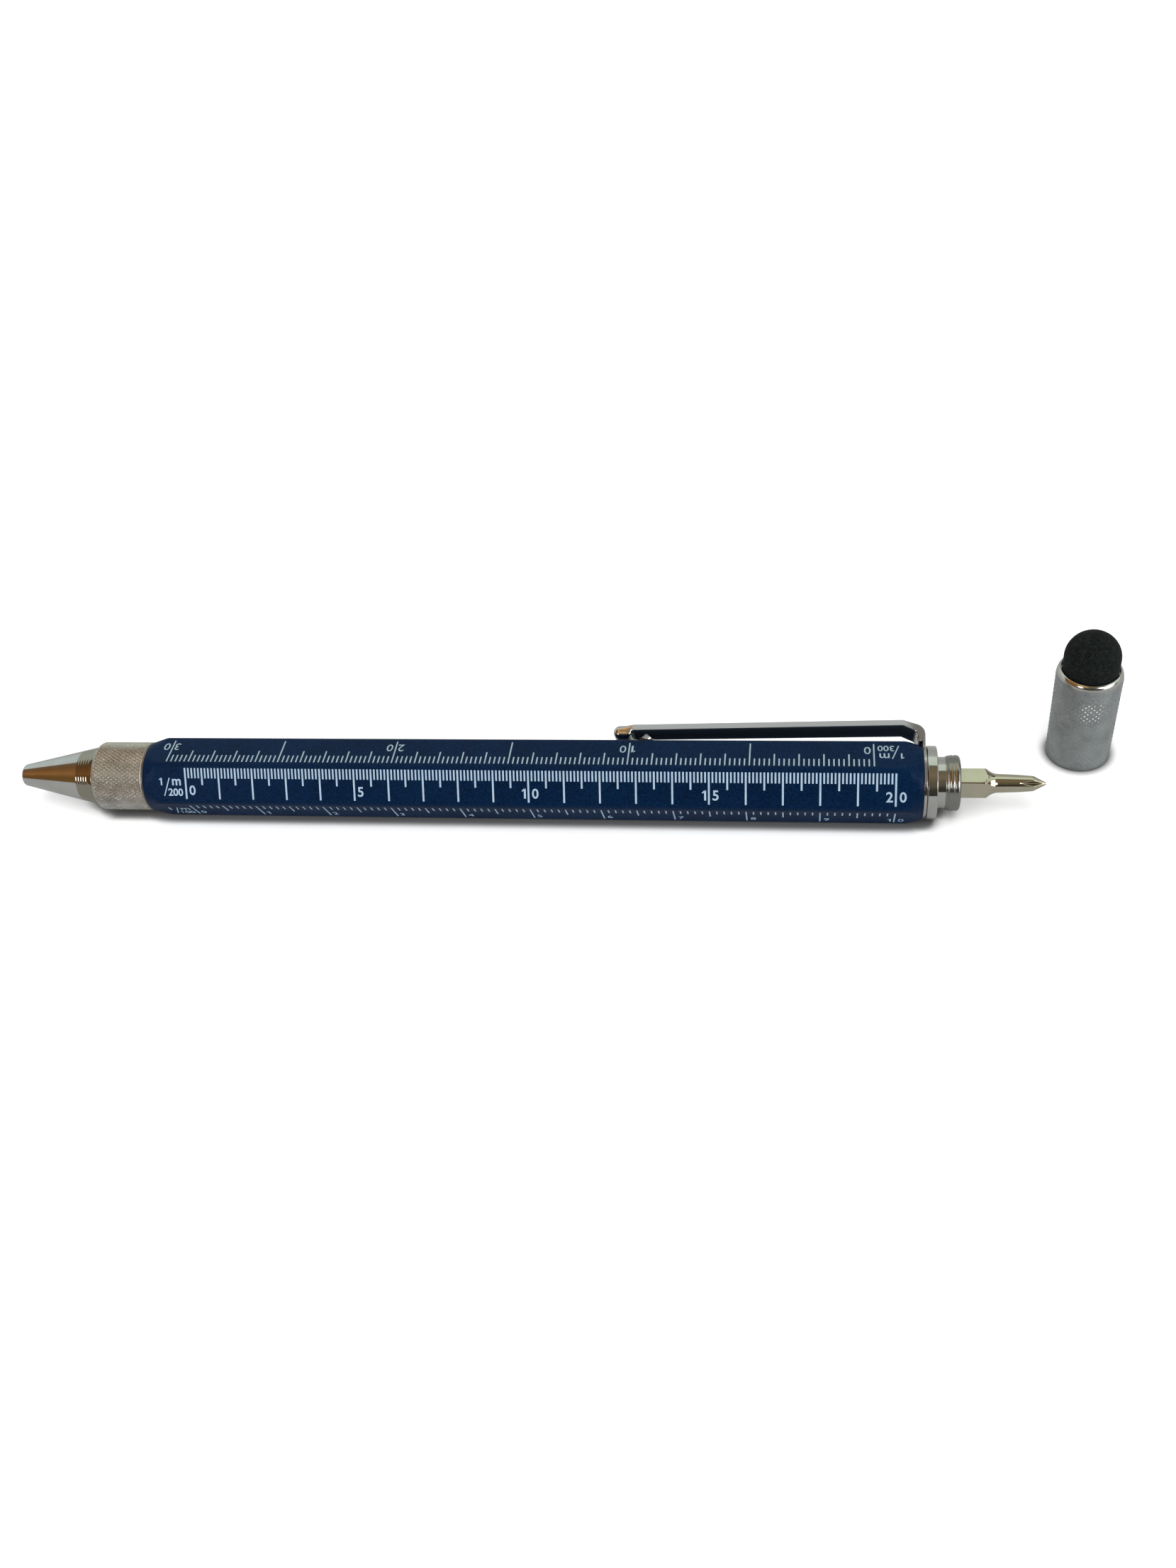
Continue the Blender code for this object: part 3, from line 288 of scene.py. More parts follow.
@named
class PenStageSettings(bpy.types.PropertyGroup):
    """The camera, the floor and the light."""

    lens: setting(bpy.props.FloatProperty, 34.16, "Focal length for 36 mm on the long side", unit="CAMERA")
    place: setting(bpy.props.FloatVectorProperty, (0.039889, -0.153438, 0.145091), "Place of the camera",
                   size=3, unit="LENGTH")
    elevation: turn(41.98, "How far the camera looks down")
    yaw: turn(11.38, "How far the camera looks to the left")
    roll: turn(7.15, "How far the camera leans")
    floor: length(8.0, "Side of the floor")
    paper: colour((0.92, 0.92, 0.92), "Colour of the floor")
    mirrored: colour((0.47, 0.47, 0.46), "Colour of the floor in the plated metal")
    lift: colour((0.28, 0.28, 0.28), "Brightness that the camera sees on the floor besides the light")
    sky: share(0.55, "Level of the even light")
    sun: setting(bpy.props.FloatProperty, 1.7, "Strength of the soft light from above")
    sun_angle: turn(50.0, "Width of the soft light from above")
    sun_tilt: turn(23.0, "How far the soft light comes from the camera's side")
    # Painted contact shadow: the floor darkens where something is close to it.
    contact: length(0.0019, "Reach of the dark line where the object meets the floor")
    # Painted bounce light: the floor glows for diffuse rays from close by.
    bounce: colour((1.0, 1.0, 1.0), "Light that the floor gives to matt undersides close to it")


GROUPS = {
    "barrel": PenBarrelSettings, "scales": PenScaleSettings, "grip": PenGripSettings,
    "nose": PenNoseSettings, "collar": PenCollarSettings, "bit": PenBitSettings,
    "clip": PenClipSettings, "cap": PenCapSettings, "metal": PenMetalSettings, "stage": PenStageSettings}


class PenLookSettings(bpy.types.PropertyGroup):
    """All settings of the pen's looks."""

    __annotations__ = {name: bpy.props.PointerProperty(type=group, name=name.capitalize(),
                                                       description=group.__doc__)
                       for name, group in GROUPS.items()}


class Field:
    """A value that varies over a surface; Python's operators on it add Math nodes."""

    def __init__(self, shader, socket):
        self.shader = shader
        self.socket = socket

    def __add__(self, other):
        return self.shader.math("ADD", self, other)

    def __sub__(self, other):
        return self.shader.math("SUBTRACT", self, other)

    def __rsub__(self, other):
        return self.shader.math("SUBTRACT", other, self)

    def __mul__(self, other):
        return self.shader.math("MULTIPLY", self, other)

    def __truediv__(self, other):
        return self.shader.math("DIVIDE", self, other)

    def __neg__(self):
        return self * -1.0

    __radd__ = __add__
    __rmul__ = __mul__

    def step(self, low, high):
        """Rise smoothly from 0 to 1 between two values."""
        return self.shader.node("ShaderNodeMapRange", {"interpolation_type": "SMOOTHSTEP"},
                                {"Value": self, "From Min": low, "From Max": high})

    def within(self, low, high, soft):
        """Be 1 between two values and 0 outside them, with soft ends."""
        return self.step(low - soft, low + soft) * (1.0 - self.step(high - soft, high + soft))


class Shader:
    """The nodes of one material or world."""

    def __init__(self, tree):
        self.tree = tree
        tree.nodes.clear()

    def node(self, kind, settings=None, values=None, output=0):
        """Add a node: its settings first, then the values or links of its sockets."""
        made = self.tree.nodes.new(kind)
        for name, value in (settings or {}).items():
            if name == "stops":
                elements = made.color_ramp.elements
                while len(elements) < len(value):
                    elements.new(1.0)
                for element, (position, rgb) in zip(elements, value):
                    element.position = position
                    element.color = (*rgb, 1.0)
            else:
                setattr(made, name, value)
        for key, value in (values or {}).items():
            if isinstance(value, Field):
                self.tree.links.new(value.socket, made.inputs[key])
            elif hasattr(value, "__len__") and made.inputs[key].type == "RGBA":
                made.inputs[key].default_value = (*value[:3], 1.0)
            else:
                made.inputs[key].default_value = value
        return Field(self, made.outputs[output]) if made.outputs else None

    def math(self, operation, *values):
        """Add a Math node."""
        return self.node("ShaderNodeMath", {"operation": operation}, dict(enumerate(values)))

    def vector(self, operation, one, other, output=0):
        """Add a Vector Math node."""
        return self.node("ShaderNodeVectorMath", {"operation": operation}, {0: one, 1: other}, output)

    def mix(self, factor, low, high):
        """Blend two colours."""
        return self.node("ShaderNodeMix", {"data_type": "RGBA"}, {0: factor, 6: low, 7: high}, 2)

    def place(self):
        """Places on the piece, in metres; they move with it."""
        return self.node("ShaderNodeTexCoord", output="Object")

    def axis(self, place, number):
        """One coordinate of a place."""
        return self.node("ShaderNodeSeparateXYZ", None, {0: place}, number)

    def along(self, direction, axis):
        """How far a direction points along an axis."""
        return self.vector("DOT_PRODUCT", direction, axis, 1)

    def noise(self, place, scale, detail=3.0, roughness=0.5, stretch=None):
        """Cloudy noise, in features of one over scale; stretch scales its places by three factors."""
        if stretch:
            place = self.vector("MULTIPLY", place, stretch)
        return self.node("ShaderNodeTexNoise", None, {
            "Vector": place, "Scale": scale, "Detail": detail, "Roughness": roughness})

    def bump(self, height, distance, strength):
        """Turn a height field into a normal."""
        return self.node("ShaderNodeBump", None, {
            "Height": height, "Distance": distance, "Strength": strength})

    def ray(self, kind):
        """1 for one kind of ray."""
        return self.node("ShaderNodeLightPath", output=kind)

    def seen(self):
        """1 for what the camera sees by itself or through glass."""
        return self.math("MAXIMUM", self.ray("Is Camera Ray"), self.ray("Is Transmission Ray"))

    def finish(self, cover=None, **values):
        """End a material in a Principled shader; names are those of its sockets, with underscores.

        cover is a share and the plain matt colour that covers it.
        """
        surface = self.node("ShaderNodeBsdfPrincipled", None, {
            name.replace("_", " "): value for name, value in values.items()})
        if cover:
            matt = self.node("ShaderNodeBsdfPrincipled", None, {
                "Base Color": cover[1], "Roughness": 1.0, "Specular IOR Level": 0.0})
            surface = self.node("ShaderNodeMixShader", None, {0: cover[0], 1: surface, 2: matt})
        self.node("ShaderNodeOutputMaterial", None, {"Surface": surface})


def scaled(rgb, by):
    """A brighter or a darker colour."""
    return tuple(by * part for part in rgb)


def as_material(fill):
    """Let a function that fills a shader give the material of a name, made only once."""
    def give(name, *values, **options):
        material = bpy.data.materials.get(name)
        if not material:
            material = bpy.data.materials.new(name)
            material.use_nodes = True
            shader = Shader(material.node_tree)
            fill(shader, shader.place(), *values, **options)
        return material
    return give


def band(axis, low, high, rgb, roughness):
    """A layer of another finish between two places along an axis."""
    return lambda shader, place: (shader.axis(place, axis).within(low, high, 0.0001), rgb, roughness)


def layered(shader, place, layer, tint, roughness):
    """Lay another finish over part of a surface; a layer gives its share, colour and roughness."""
    if not layer:
        return tint, roughness
    part, rgb, other = layer(shader, place)
    return shader.mix(part, tint, rgb), roughness * (1.0 - part) + part * other


@as_material
def navy_lacquer(shader, place, barrel):
    """Satin navy lacquer with a fine grain, rubbed smoother in places."""
    grain = shader.noise(place, 4200.0, roughness=0.75)
    cloud = shader.noise(place, 160.0)
    rubbed = shader.noise(place, 120.0, 4.0, stretch=(1.0, 6.0, 6.0))
    peel = shader.noise(place, 2600.0, 1.0)
    lighter = (grain * 0.9 + cloud * 0.2).step(0.40, 0.70)
    shader.finish(Base_Color=shader.mix(lighter, barrel.lacquer, barrel.lacquer_light),
                  Roughness=barrel.roughness + (rubbed - 0.5) * 0.16 + (grain - 0.5) * 0.08,
                  Specular_IOR_Level=barrel.sheen, Normal=shader.bump(peel + grain * 0.4, 0.0000025, 0.5))


@as_material
def print_ink(shader, place, rgb):
    """Printed ink, a little uneven."""
    grain = shader.noise(place, 12000.0, 2.0)
    cloud = shader.noise(place, 900.0, 2.0)
    shader.finish(Base_Color=shader.mix((grain * 0.6 + cloud * 0.6).step(0.3, 0.8), scaled(rgb, 0.80), rgb),
                  Roughness=0.42 + (cloud - 0.5) * 0.2, Specular_IOR_Level=0.4)


@as_material
def plate(shader, place, rgb, roughness, smear=0.05, layer=None):
    """Plated metal with faint smears and the fine marks of polishing."""
    cloud = shader.noise(place, 420.0)
    marks = shader.noise(place, 5200.0, 2.0, stretch=(6.0, 1.0, 1.0))
    tint = shader.mix(cloud.step(0.25, 0.75), scaled(rgb, 0.90), rgb)
    tint, rough = layered(shader, place, layer, tint, roughness)
    shader.finish(Base_Color=tint, Metallic=1.0, Normal=shader.bump(marks, 0.0000008, 0.5),
                  Roughness=rough + (cloud - 0.5) * smear + (marks - 0.5) * 0.03)


@as_material
def satin_plate(shader, place, rgb, roughness, white, layer=None):
    """Satin plate with a fine blasted grain; white gives the share of its painted highlights, spots of matt
    white.
    """
    grain = shader.noise(place, 6000.0, roughness=0.75)
    cloud = shader.noise(place, 450.0)
    light = tuple(min(1.0, part) for part in scaled(rgb, 1.22))
    tint = shader.mix((grain * 0.7 + cloud * 0.4).step(0.34, 0.76), scaled(rgb, 0.70), light)
    tint, rough = layered(shader, place, layer, tint, roughness)
    # Painted highlights: where lights is 1, the plate becomes matt white.
    lights = white(shader, place)
    shader.finish(Base_Color=shader.mix(lights, tint, (0.95, 0.95, 0.92)), Metallic=1.0 - lights,
                  Roughness=rough + (cloud - 0.5) * 0.1 + (grain - 0.5) * 0.12,
                  Normal=shader.bump(grain, 0.000004, 0.5))


def sunk_flutes(bit):
    """A layer of painted shade down in the bit's flutes: a dark colour and a rougher plate."""
    def layer(shader, place):
        depth = BIT_HIGH.x - shader.axis(place, 0)
        aside = shader.vector("SUBTRACT", place, (0.0, 0.0, AXIS_HEIGHT))
        reach = shader.vector("LENGTH", shader.vector("MULTIPLY", aside, (0.0, 1.0, 1.0)), BLACK, 1)
        point = depth * ((bit.neck_radius - bit.point_flat) / bit.point) + bit.point_flat
        shaft = (depth - bit.point) * ((bit.shaft_radius - bit.neck_radius) / bit.shaft) + bit.neck_radius
        outside = (reach / shader.math("MINIMUM", point, shaft)).step(0.88, 0.985)
        return 1.0 - outside, bit.sunk, bit.roughness + 0.15
    return layer


@as_material
def clip_chrome(shader, place, clip):
    """Chrome of the clip: brushed at its cut edges, with painted shade on the side that faces the barrel.
    """
    facing = shader.node("ShaderNodeTexCoord", output="Normal")
    lean, rise = math.sin(CLIP_ROLL), math.cos(CLIP_ROLL)
    x = shader.axis(place, 0)
    arm = x.within(CLIP_LOW.x + clip.tip_length, CLIP_HIGH.x - clip.leg, 0.0003)
    behind_tip = x.step(CLIP_LOW.x + 0.8 * clip.tip_length, CLIP_LOW.x + 1.3 * clip.tip_length)
    edge = shader.along(facing, (0.0, -lean, rise)).step(0.90, 0.98) * behind_tip
    cut = shader.mix(x.step(CLIP_HIGH.x - 0.0030, CLIP_HIGH.x - 0.0012), clip.cut, clip.bent)
    # Painted shade: the side that faces the barrel is covered in a matt dark colour.
    under = shader.along(facing, (0.0, -rise, -lean)).step(0.55, 0.90) * arm
    cloud = shader.noise(place, 420.0)
    brushed = shader.noise(place, 5200.0, 2.0, stretch=(0.3, 6.0, 6.0))
    tint = shader.mix(edge, shader.mix(cloud.step(0.25, 0.75), clip.dull, clip.bright), cut)
    shader.finish(Base_Color=tint, Metallic=1.0 - edge * 0.8, cover=(under, clip.shade),
                  Roughness=0.10 + edge * 0.38 + (cloud - 0.5) * 0.06 + (brushed - 0.5) * 0.05,
                  Normal=shader.bump(brushed, 0.0000008, 0.5))


@as_material
def turned_metal(shader, place, rgb, roughness):
    """Bare metal with the rings of a lathe tool along the pen."""
    rings = shader.noise(place, 9000.0, 2.0, stretch=(1.0, 0.02, 0.02))
    cloud = shader.noise(place, 600.0)
    shader.finish(Base_Color=shader.mix(rings * 0.6 + cloud * 0.4, scaled(rgb, 0.78), rgb), Metallic=1.0,
                  Roughness=roughness + (rings - 0.5) * 0.12 + (cloud - 0.5) * 0.08,
                  Normal=shader.bump(rings, 0.000003, 0.4))


@as_material
def moulded(shader, place, rgb, roughness):
    """Moulded plastic with a faint flow pattern."""
    cloud = shader.noise(place, 350.0)
    grain = shader.noise(place, 8000.0, 2.0)
    shader.finish(Base_Color=shader.mix(cloud, scaled(rgb, 0.90), rgb),
                  Roughness=roughness + (grain - 0.5) * 0.1, Normal=shader.bump(grain, 0.000003, 0.4))


@as_material
def soft_rubber(shader, place, rgb):
    """Matt rubber with a powdery, slightly lighter grain."""
    grain = shader.noise(place, 6500.0, roughness=0.65)
    dust = shader.noise(place, 2200.0)
    shader.finish(Base_Color=shader.mix((grain * 0.8 + dust * 0.4).step(0.52, 0.80), rgb, scaled(rgb, 6.5)),
                  Roughness=0.82 + (grain - 0.5) * 0.2, Specular_IOR_Level=0.2,
                  Normal=shader.bump(grain + dust * 0.5, 0.00001, 0.6))


@as_material
def white_paper(shader, place, stage):
    """Matt floor: white to the camera, darker in mirrors, with a painted contact shadow where something
    touches it and a painted glow that lights matt undersides close to it.
    """
    # Painted contact shadow, from ambient occlusion.
    clear = shader.node("ShaderNodeAmbientOcclusion", None, {"Distance": stage.contact}, 1).step(0.45, 0.98)
    paper = shader.mix(shader.noise(place, 900.0), scaled(stage.paper, 0.985), stage.paper)
    paper = shader.mix(shader.ray("Is Glossy Ray"), paper, stage.mirrored)
    glow = shader.mix(shader.seen() * clear, BLACK, stage.lift)
    # Painted bounce light: the floor glows for diffuse rays that come from close by.
    near = shader.ray("Is Diffuse Ray") * (1.0 - shader.ray("Ray Length").step(0.004, 0.010))
    shader.finish(Base_Color=shader.mix(clear, scaled(stage.paper, 0.26), paper), Roughness=0.9,
                  Specular_IOR_Level=0.0, Emission_Color=shader.mix(near, glow, stage.bounce),
                  Emission_Strength=1.0)


class Skin:
    """Points and faces of one piece, gathered ring by ring."""

    def __init__(self):
        self.points = []
        self.faces = []

    def ring(self, points):
        """Add points and return their numbers."""
        first = len(self.points)
        self.points.extend(points)
        return list(range(first, len(self.points)))

    def around(self, place, outline, angles):
        """Add the rings of an outline of (station, radius) points about an axis."""
        return [self.ring([place(station, radius, angle) for angle in angles])
                for station, radius in outline]

    def join(self, one, other):
        """Faces between two rings; a ring of one point is a pole."""
        most = max(len(one), len(other))
        for k in range(most):
            after = (k + 1) % most
            corners = (one[k % len(one)], one[after % len(one)],
                       other[after % len(other)], other[k % len(other)])
            self.faces.append(tuple(dict.fromkeys(corners)))

    def loft(self, rings, closed=False):
        """Faces along a row of rings."""
        for one, other in zip(rings, rings[1:]):
            self.join(one, other)
        if closed:
            self.join(rings[-1], rings[0])

    def solid(self, points, faces):
        """Add a shape made elsewhere."""
        first = len(self.points)
        self.points.extend(points)
        self.faces.extend(tuple(first + corner for corner in face) for face in faces)

    def mesh(self, name):
        """Make the mesh, with its normals outwards."""
        mesh = bpy.data.meshes.new(name)
        mesh.from_pydata(self.points, [], self.faces)
        shape = bmesh.new()
        shape.from_mesh(mesh)
        bmesh.ops.remove_doubles(shape, verts=shape.verts, dist=MERGE)
        bmesh.ops.recalc_face_normals(shape, faces=shape.faces)
        shape.to_mesh(mesh)
        shape.free()
        return mesh

    def piece(self, name):
        """Make the object."""
        return as_piece(name, self.mesh(name))


def linked(name, data):
    """Link a mesh, a curve, a camera or a light as an object."""
    made = bpy.data.objects.new(name, data)
    bpy.context.scene.collection.objects.link(made)
    return made


def as_piece(name, mesh):
    """Link a mesh as an object with even shading, smooth but for its sharp edges."""
    mesh.polygons.foreach_set("use_smooth", [True] * len(mesh.polygons))
    mesh.set_sharp_from_angle(angle=SHARP)
    piece = linked(name, mesh)
    piece.modifiers.new("even_shading", "WEIGHTED_NORMAL").keep_sharp = True
    return piece


def coat(piece, material):
    """Give a piece its material."""
    piece.data.materials.clear()
    piece.data.materials.append(material)


def dress(piece, material, body, nodes=()):
    """Give a piece its material and its body, and hide the nodes it stands for."""
    coat(piece, material)
    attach(piece, body)
    if nodes:
        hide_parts(*nodes)


def on_pen(x, radius, angle):
    """A point round the pen's axis."""
    return Vector((x, -radius * math.sin(angle), AXIS_HEIGHT + radius * math.cos(angle)))


def on_cap(height, radius, angle):
    """A point round the cap's axis."""
    return Vector((CAP_X + radius * math.sin(angle), CAP_Y - radius * math.cos(angle), height))


def arc(centre, radius, start, end, steps):
    """Points of an arc in a plane, both ends included; angles in degrees."""
    angles = [math.radians(start + (end - start) * step / steps) for step in range(steps + 1)]
    return [(centre[0] + radius * math.cos(angle), centre[1] + radius * math.sin(angle))
            for angle in angles]


def rounded(outline, radius, closed=True):
    """Round the corners of an outline, but not those that are nearly straight."""
    result = []
    for index, corner in enumerate(outline):
        corner = Vector(corner)
        before = Vector(outline[index - 1]) - corner
        after = Vector(outline[(index + 1) % len(outline)]) - corner
        bend = math.pi - before.angle(after, 0.0)
        if bend < STRAIGHT or not closed and index in (0, len(outline) - 1):
            result.append(tuple(corner))
            continue
        reach = min(radius * math.tan(bend / 2), ROUND_SHARE * before.length, ROUND_SHARE * after.length)
        low = corner + before.normalized() * reach
        high = corner + after.normalized() * reach
        for step in range(ROUND_STEPS + 1):
            t = step / ROUND_STEPS
            result.append(tuple(low * (1 - t) ** 2 + corner * 2 * t * (1 - t) + high * t ** 2))
    return result


def even_angles(number, first=0.0):
    """Evenly spaced angles round a turn."""
    return [first + math.tau * k / number for k in range(number)]


def turned(name, outline, place, closed=True, sides=128, edge=0.00004):
    """Turn an outline of (station, radius) points about an axis."""
    skin = Skin()
    rings = []
    for station, radius in rounded(outline, edge, closed):
        rings += skin.around(place, [(station, radius)], even_angles(1 if radius < MERGE else sides))
    skin.loft(rings, closed)
    return skin.piece(name)


def hex_radius(angle, half, corner):
    """Distance from the middle of a rounded hexagon to its outline; a flat faces angle zero."""
    across = (angle + SIXTH / 2) % SIXTH - SIXTH / 2
    centre = (half - corner) / math.cos(SIXTH / 2)
    if abs(across) <= math.atan((half - corner) * math.tan(SIXTH / 2) / half):
        return half / math.cos(across)
    beside = SIXTH / 2 - abs(across)
    return centre * math.cos(beside) + math.sqrt(corner ** 2 - (centre * math.sin(beside)) ** 2)


def hex_angles(half, corner, arc_steps):
    """Angles round a rounded hexagon, dense at its corners."""
    tangent = math.atan((half - corner) * math.tan(SIXTH / 2) / half)
    gap = SIXTH - 2 * tangent
    steps = [tangent * part for part in (-1.0, -0.94, -0.5, 0.0, 0.5, 0.94, 1.0)]
    steps += [tangent + gap * step / arc_steps for step in range(1, arc_steps)]
    return [side * SIXTH + step for side in range(6) for step in steps]


def blend_low(one, other, soft):
    """The lower of two radii, with a small rounding where they meet."""
    overlap = max(soft - abs(one - other), 0.0)
    return min(one, other) - overlap ** 2 / (4 * soft)


def knurl(skin, place, columns, rows, flat):
    """Cover a band with flat-topped diamonds.

    place takes a column, a row and a height from 0 at the grooves to 1 at the flats. It returns
    the band's first and last ring and the angles at which their points lie.
    """
    grooves = {}

    def groove(column, row):
        key = (column % columns, row)
        if key not in grooves:
            grooves[key] = skin.ring([place(key[0], row, 0.0)])[0]
        return grooves[key]

    edges = {0: [], rows: []}
    for row in range(rows + 1):
        for column in range((row + 1) % 2, columns, 2):
            sides = [(1, 0), (0, 1), (-1, 0), (0, -1)]
            if row == 0:
                sides = sides[:3]
            if row == rows:
                sides = [(-1, 0), (0, -1), (1, 0)]
            low = [groove(column + across, row + along) for across, along in sides]
            top = skin.ring([place(column + across * flat, row + along * flat, 1.0)
                             for across, along in sides])
            for k in range(len(sides) if len(sides) == 4 else 2):
                after = (k + 1) % len(sides)
                skin.faces.append((low[k], low[after], top[after], top[k]))
            skin.faces.append(tuple(top))
            if row == 0:
                edges[0] += [low[2], top[2], top[0]]
            if row == rows:
                edges[rows] += [low[0], top[0], top[2]]
    angles = [math.tau * (column + side) / columns
              for column in range(1, columns, 2) for side in (-1, -flat, flat)]
    return edges[0], edges[rows], angles


class PEN_OT_barrel(bpy.types.Operator):
    """Build the six-sided barrel with its rounded corners, turned ends and lacquer"""

    bl_idname = "pen.barrel"
    bl_label = "Barrel"

    def execute(self, context):
        barrel = context.scene.pen_look.barrel
        half = barrel.flats / 2
        slope = math.tan(barrel.end_angle)
        front_bore, rear_bore, bore_depth, lip = 0.003955, 0.003797, 0.0060, 0.0001
        setback, edge, soft = 0.00007, 0.00008, 0.00010

        def radius(inside, angle):
            """Radius of the outside at a distance from an end."""
            turned_down = half - setback + inside * slope
            full = blend_low(hex_radius(angle, half, barrel.corner), turned_down, soft)
            return full - max(0.0, edge - inside) ** 2 / (2 * edge)

        angles = hex_angles(half, barrel.corner, 10)
        insets = [0.00002 * k for k in range(5)] + [0.0001 * k for k in range(1, 28)]
        skin = Skin()
        rings = []
        for end, way, bore in ((BARREL_LOW.x, 1.0, front_bore), (BARREL_HIGH.x, -1.0, rear_bore)):
            own = skin.around(on_pen, [(end + way * bore_depth, bore), (end + way * lip, bore),
                                       (end, bore + lip)], angles)
            for inset in insets:
                own.append(skin.ring([on_pen(end + way * inset, radius(inset, angle), angle)
                                      for angle in angles]))
            rings += own if way > 0 else reversed(own)
        skin.loft(rings, closed=True)
        dress(skin.piece("barrel_body"), navy_lacquer("navy_lacquer", barrel), "barrel", ["hex_barrel"])
        return {"FINISHED"}


class Flat:
    """One flat of the barrel: along runs with the pen, down runs across the flat from one corner."""

    def __init__(self, look, start, end, reverse=False):
        point = look.barrel.flats / 2 / math.cos(SIXTH / 2)
        start, end = math.radians(start), math.radians(end)
        middle = (start + end) / 2
        self.origin = on_pen(0.0, point, start)
        self.down = (on_pen(0.0, point, end) - self.origin).normalized()
        self.out = (on_pen(0.0, 1.0, middle) - on_pen(0.0, 0.0, middle)).normalized()
        self.ahead = -1.0 if reverse else 1.0
        self.ink = look.scales.depth
        self.label = look.scales.label
        self.skin = Skin()

    def at(self, along, down, height):
        """A place on the flat."""
        return self.origin + Vector((along, 0.0, 0.0)) + self.down * down + self.out * height

    def mark(self, along, start, end, width, lean=0.0):
        """One line of ink across the flat."""
        corners = ((start, -1, lean), (start, 1, lean), (end, 1, 0.0), (end, -1, 0.0))
        points = [self.at(along + shift + side * width / 2, down, height)
                  for height in (-self.ink, self.ink) for down, side, shift in corners]
        faces = [(0, 1, 2, 3), (4, 5, 6, 7)]
        faces += [(k, (k + 1) % 4, (k + 1) % 4 + 4, k + 4) for k in range(4)]
        self.skin.solid(points, faces)

    def words(self, body, along, down, height, bold, side):
        """Text whose foot is at down; side is -1 to end at along, 1 to start there, 0 to be centred."""
        curve = bpy.data.curves.new("digits", "FONT")
        curve.body = body
        curve.resolution_u = 5
        curve.extrude = 0.02
        curve.offset = bold
        holder = linked("digits", curve)
        mesh = evaluated(holder)
        places = [vert.co for vert in mesh.vertices]
        left, right = min(place.x for place in places), max(place.x for place in places)
        foot = min(place.y for place in places)
        scale = height / (max(place.y for place in places) - foot)
        anchor = {-1: right, 0: (left + right) / 2, 1: left}[side]
        points = [self.at(along + self.ahead * (place.x - anchor) * scale, down - (place.y - foot) * scale,
                          self.ink if place.z > 0 else -self.ink) for place in places]
        self.skin.solid(points, [tuple(face.vertices) for face in mesh.polygons])
        bpy.data.objects.remove(holder, do_unlink=True)
        bpy.data.meshes.remove(mesh)
        bpy.data.curves.remove(curve)

    def figure(self, digit, along, foot, height, bold, side):
        """One figure; a one is drawn as a bar with a flag. side is as for words."""
        if digit != "1":
            self.words(digit, along, foot, height, bold, side)
            return
        bar, flag = 0.19 * height, 0.26 * height
        spot = along + self.ahead * {-1: -bar / 2, 0: 0.0, 1: flag + bar / 2}[side]
        lean = self.ahead * flag
        self.mark(spot, foot - height, foot, bar)
        self.mark(spot - lean, foot - height, foot - 0.72 * height, 0.9 * bar, lean)

    def number(self, value, along, foot, height, gap, bold):
        """A number at a long mark: one digit beside it, two digits astride it."""
        digits = str(value)
        if len(digits) == 2:
            self.figure(digits[0], along - self.ahead * gap * 0.75, foot, height, bold, -1)
        self.figure(digits[-1], along + self.ahead * gap, foot, height, bold, 1)

    def ratio(self, value, zero, bold):
        """The scale's ratio beside its zero mark: a one over the number, with m for metres."""
        top, small, stroke, slant = 0.00205, self.label, 0.00016, 0.0009
        foot = top + 2.4 * small
        one, slash, metres, under = (zero - self.ahead * part * small for part in (3.3, 3.0, 1.25, 0.45))
        self.figure("1", one, top + small, small, bold, 0)
        self.mark(slash, top, foot, stroke, self.ahead * slant)
        self.words("m", metres, top + small, small * 0.86, bold, 0)
        self.words(str(value), under, foot, small, bold, -1)

    def rule(self, start, step, steps, near, ends, width, numbers, strong=1.0):
        """Marks at even steps.

        ends gives how far a mark reaches, by the number of steps it divides. numbers gives the
        steps between two numbers, the steps of one unit, and the foot, height, gap and boldness.
        strong is how much wider every fifth mark is.
        """
        every, unit, *form = numbers
        for k in range(steps + 1):
            along = start + step * k
            end = next(end for part, end in ends.items() if k % part == 0)
            self.mark(along, near, end, width if k % 5 else width * strong)
            if k % every == 0:
                self.number(k // unit, along, *form)

    def done(self, name, ink):
        """Make the print as one piece."""
        dress(self.skin.piece(name), ink, "barrel")


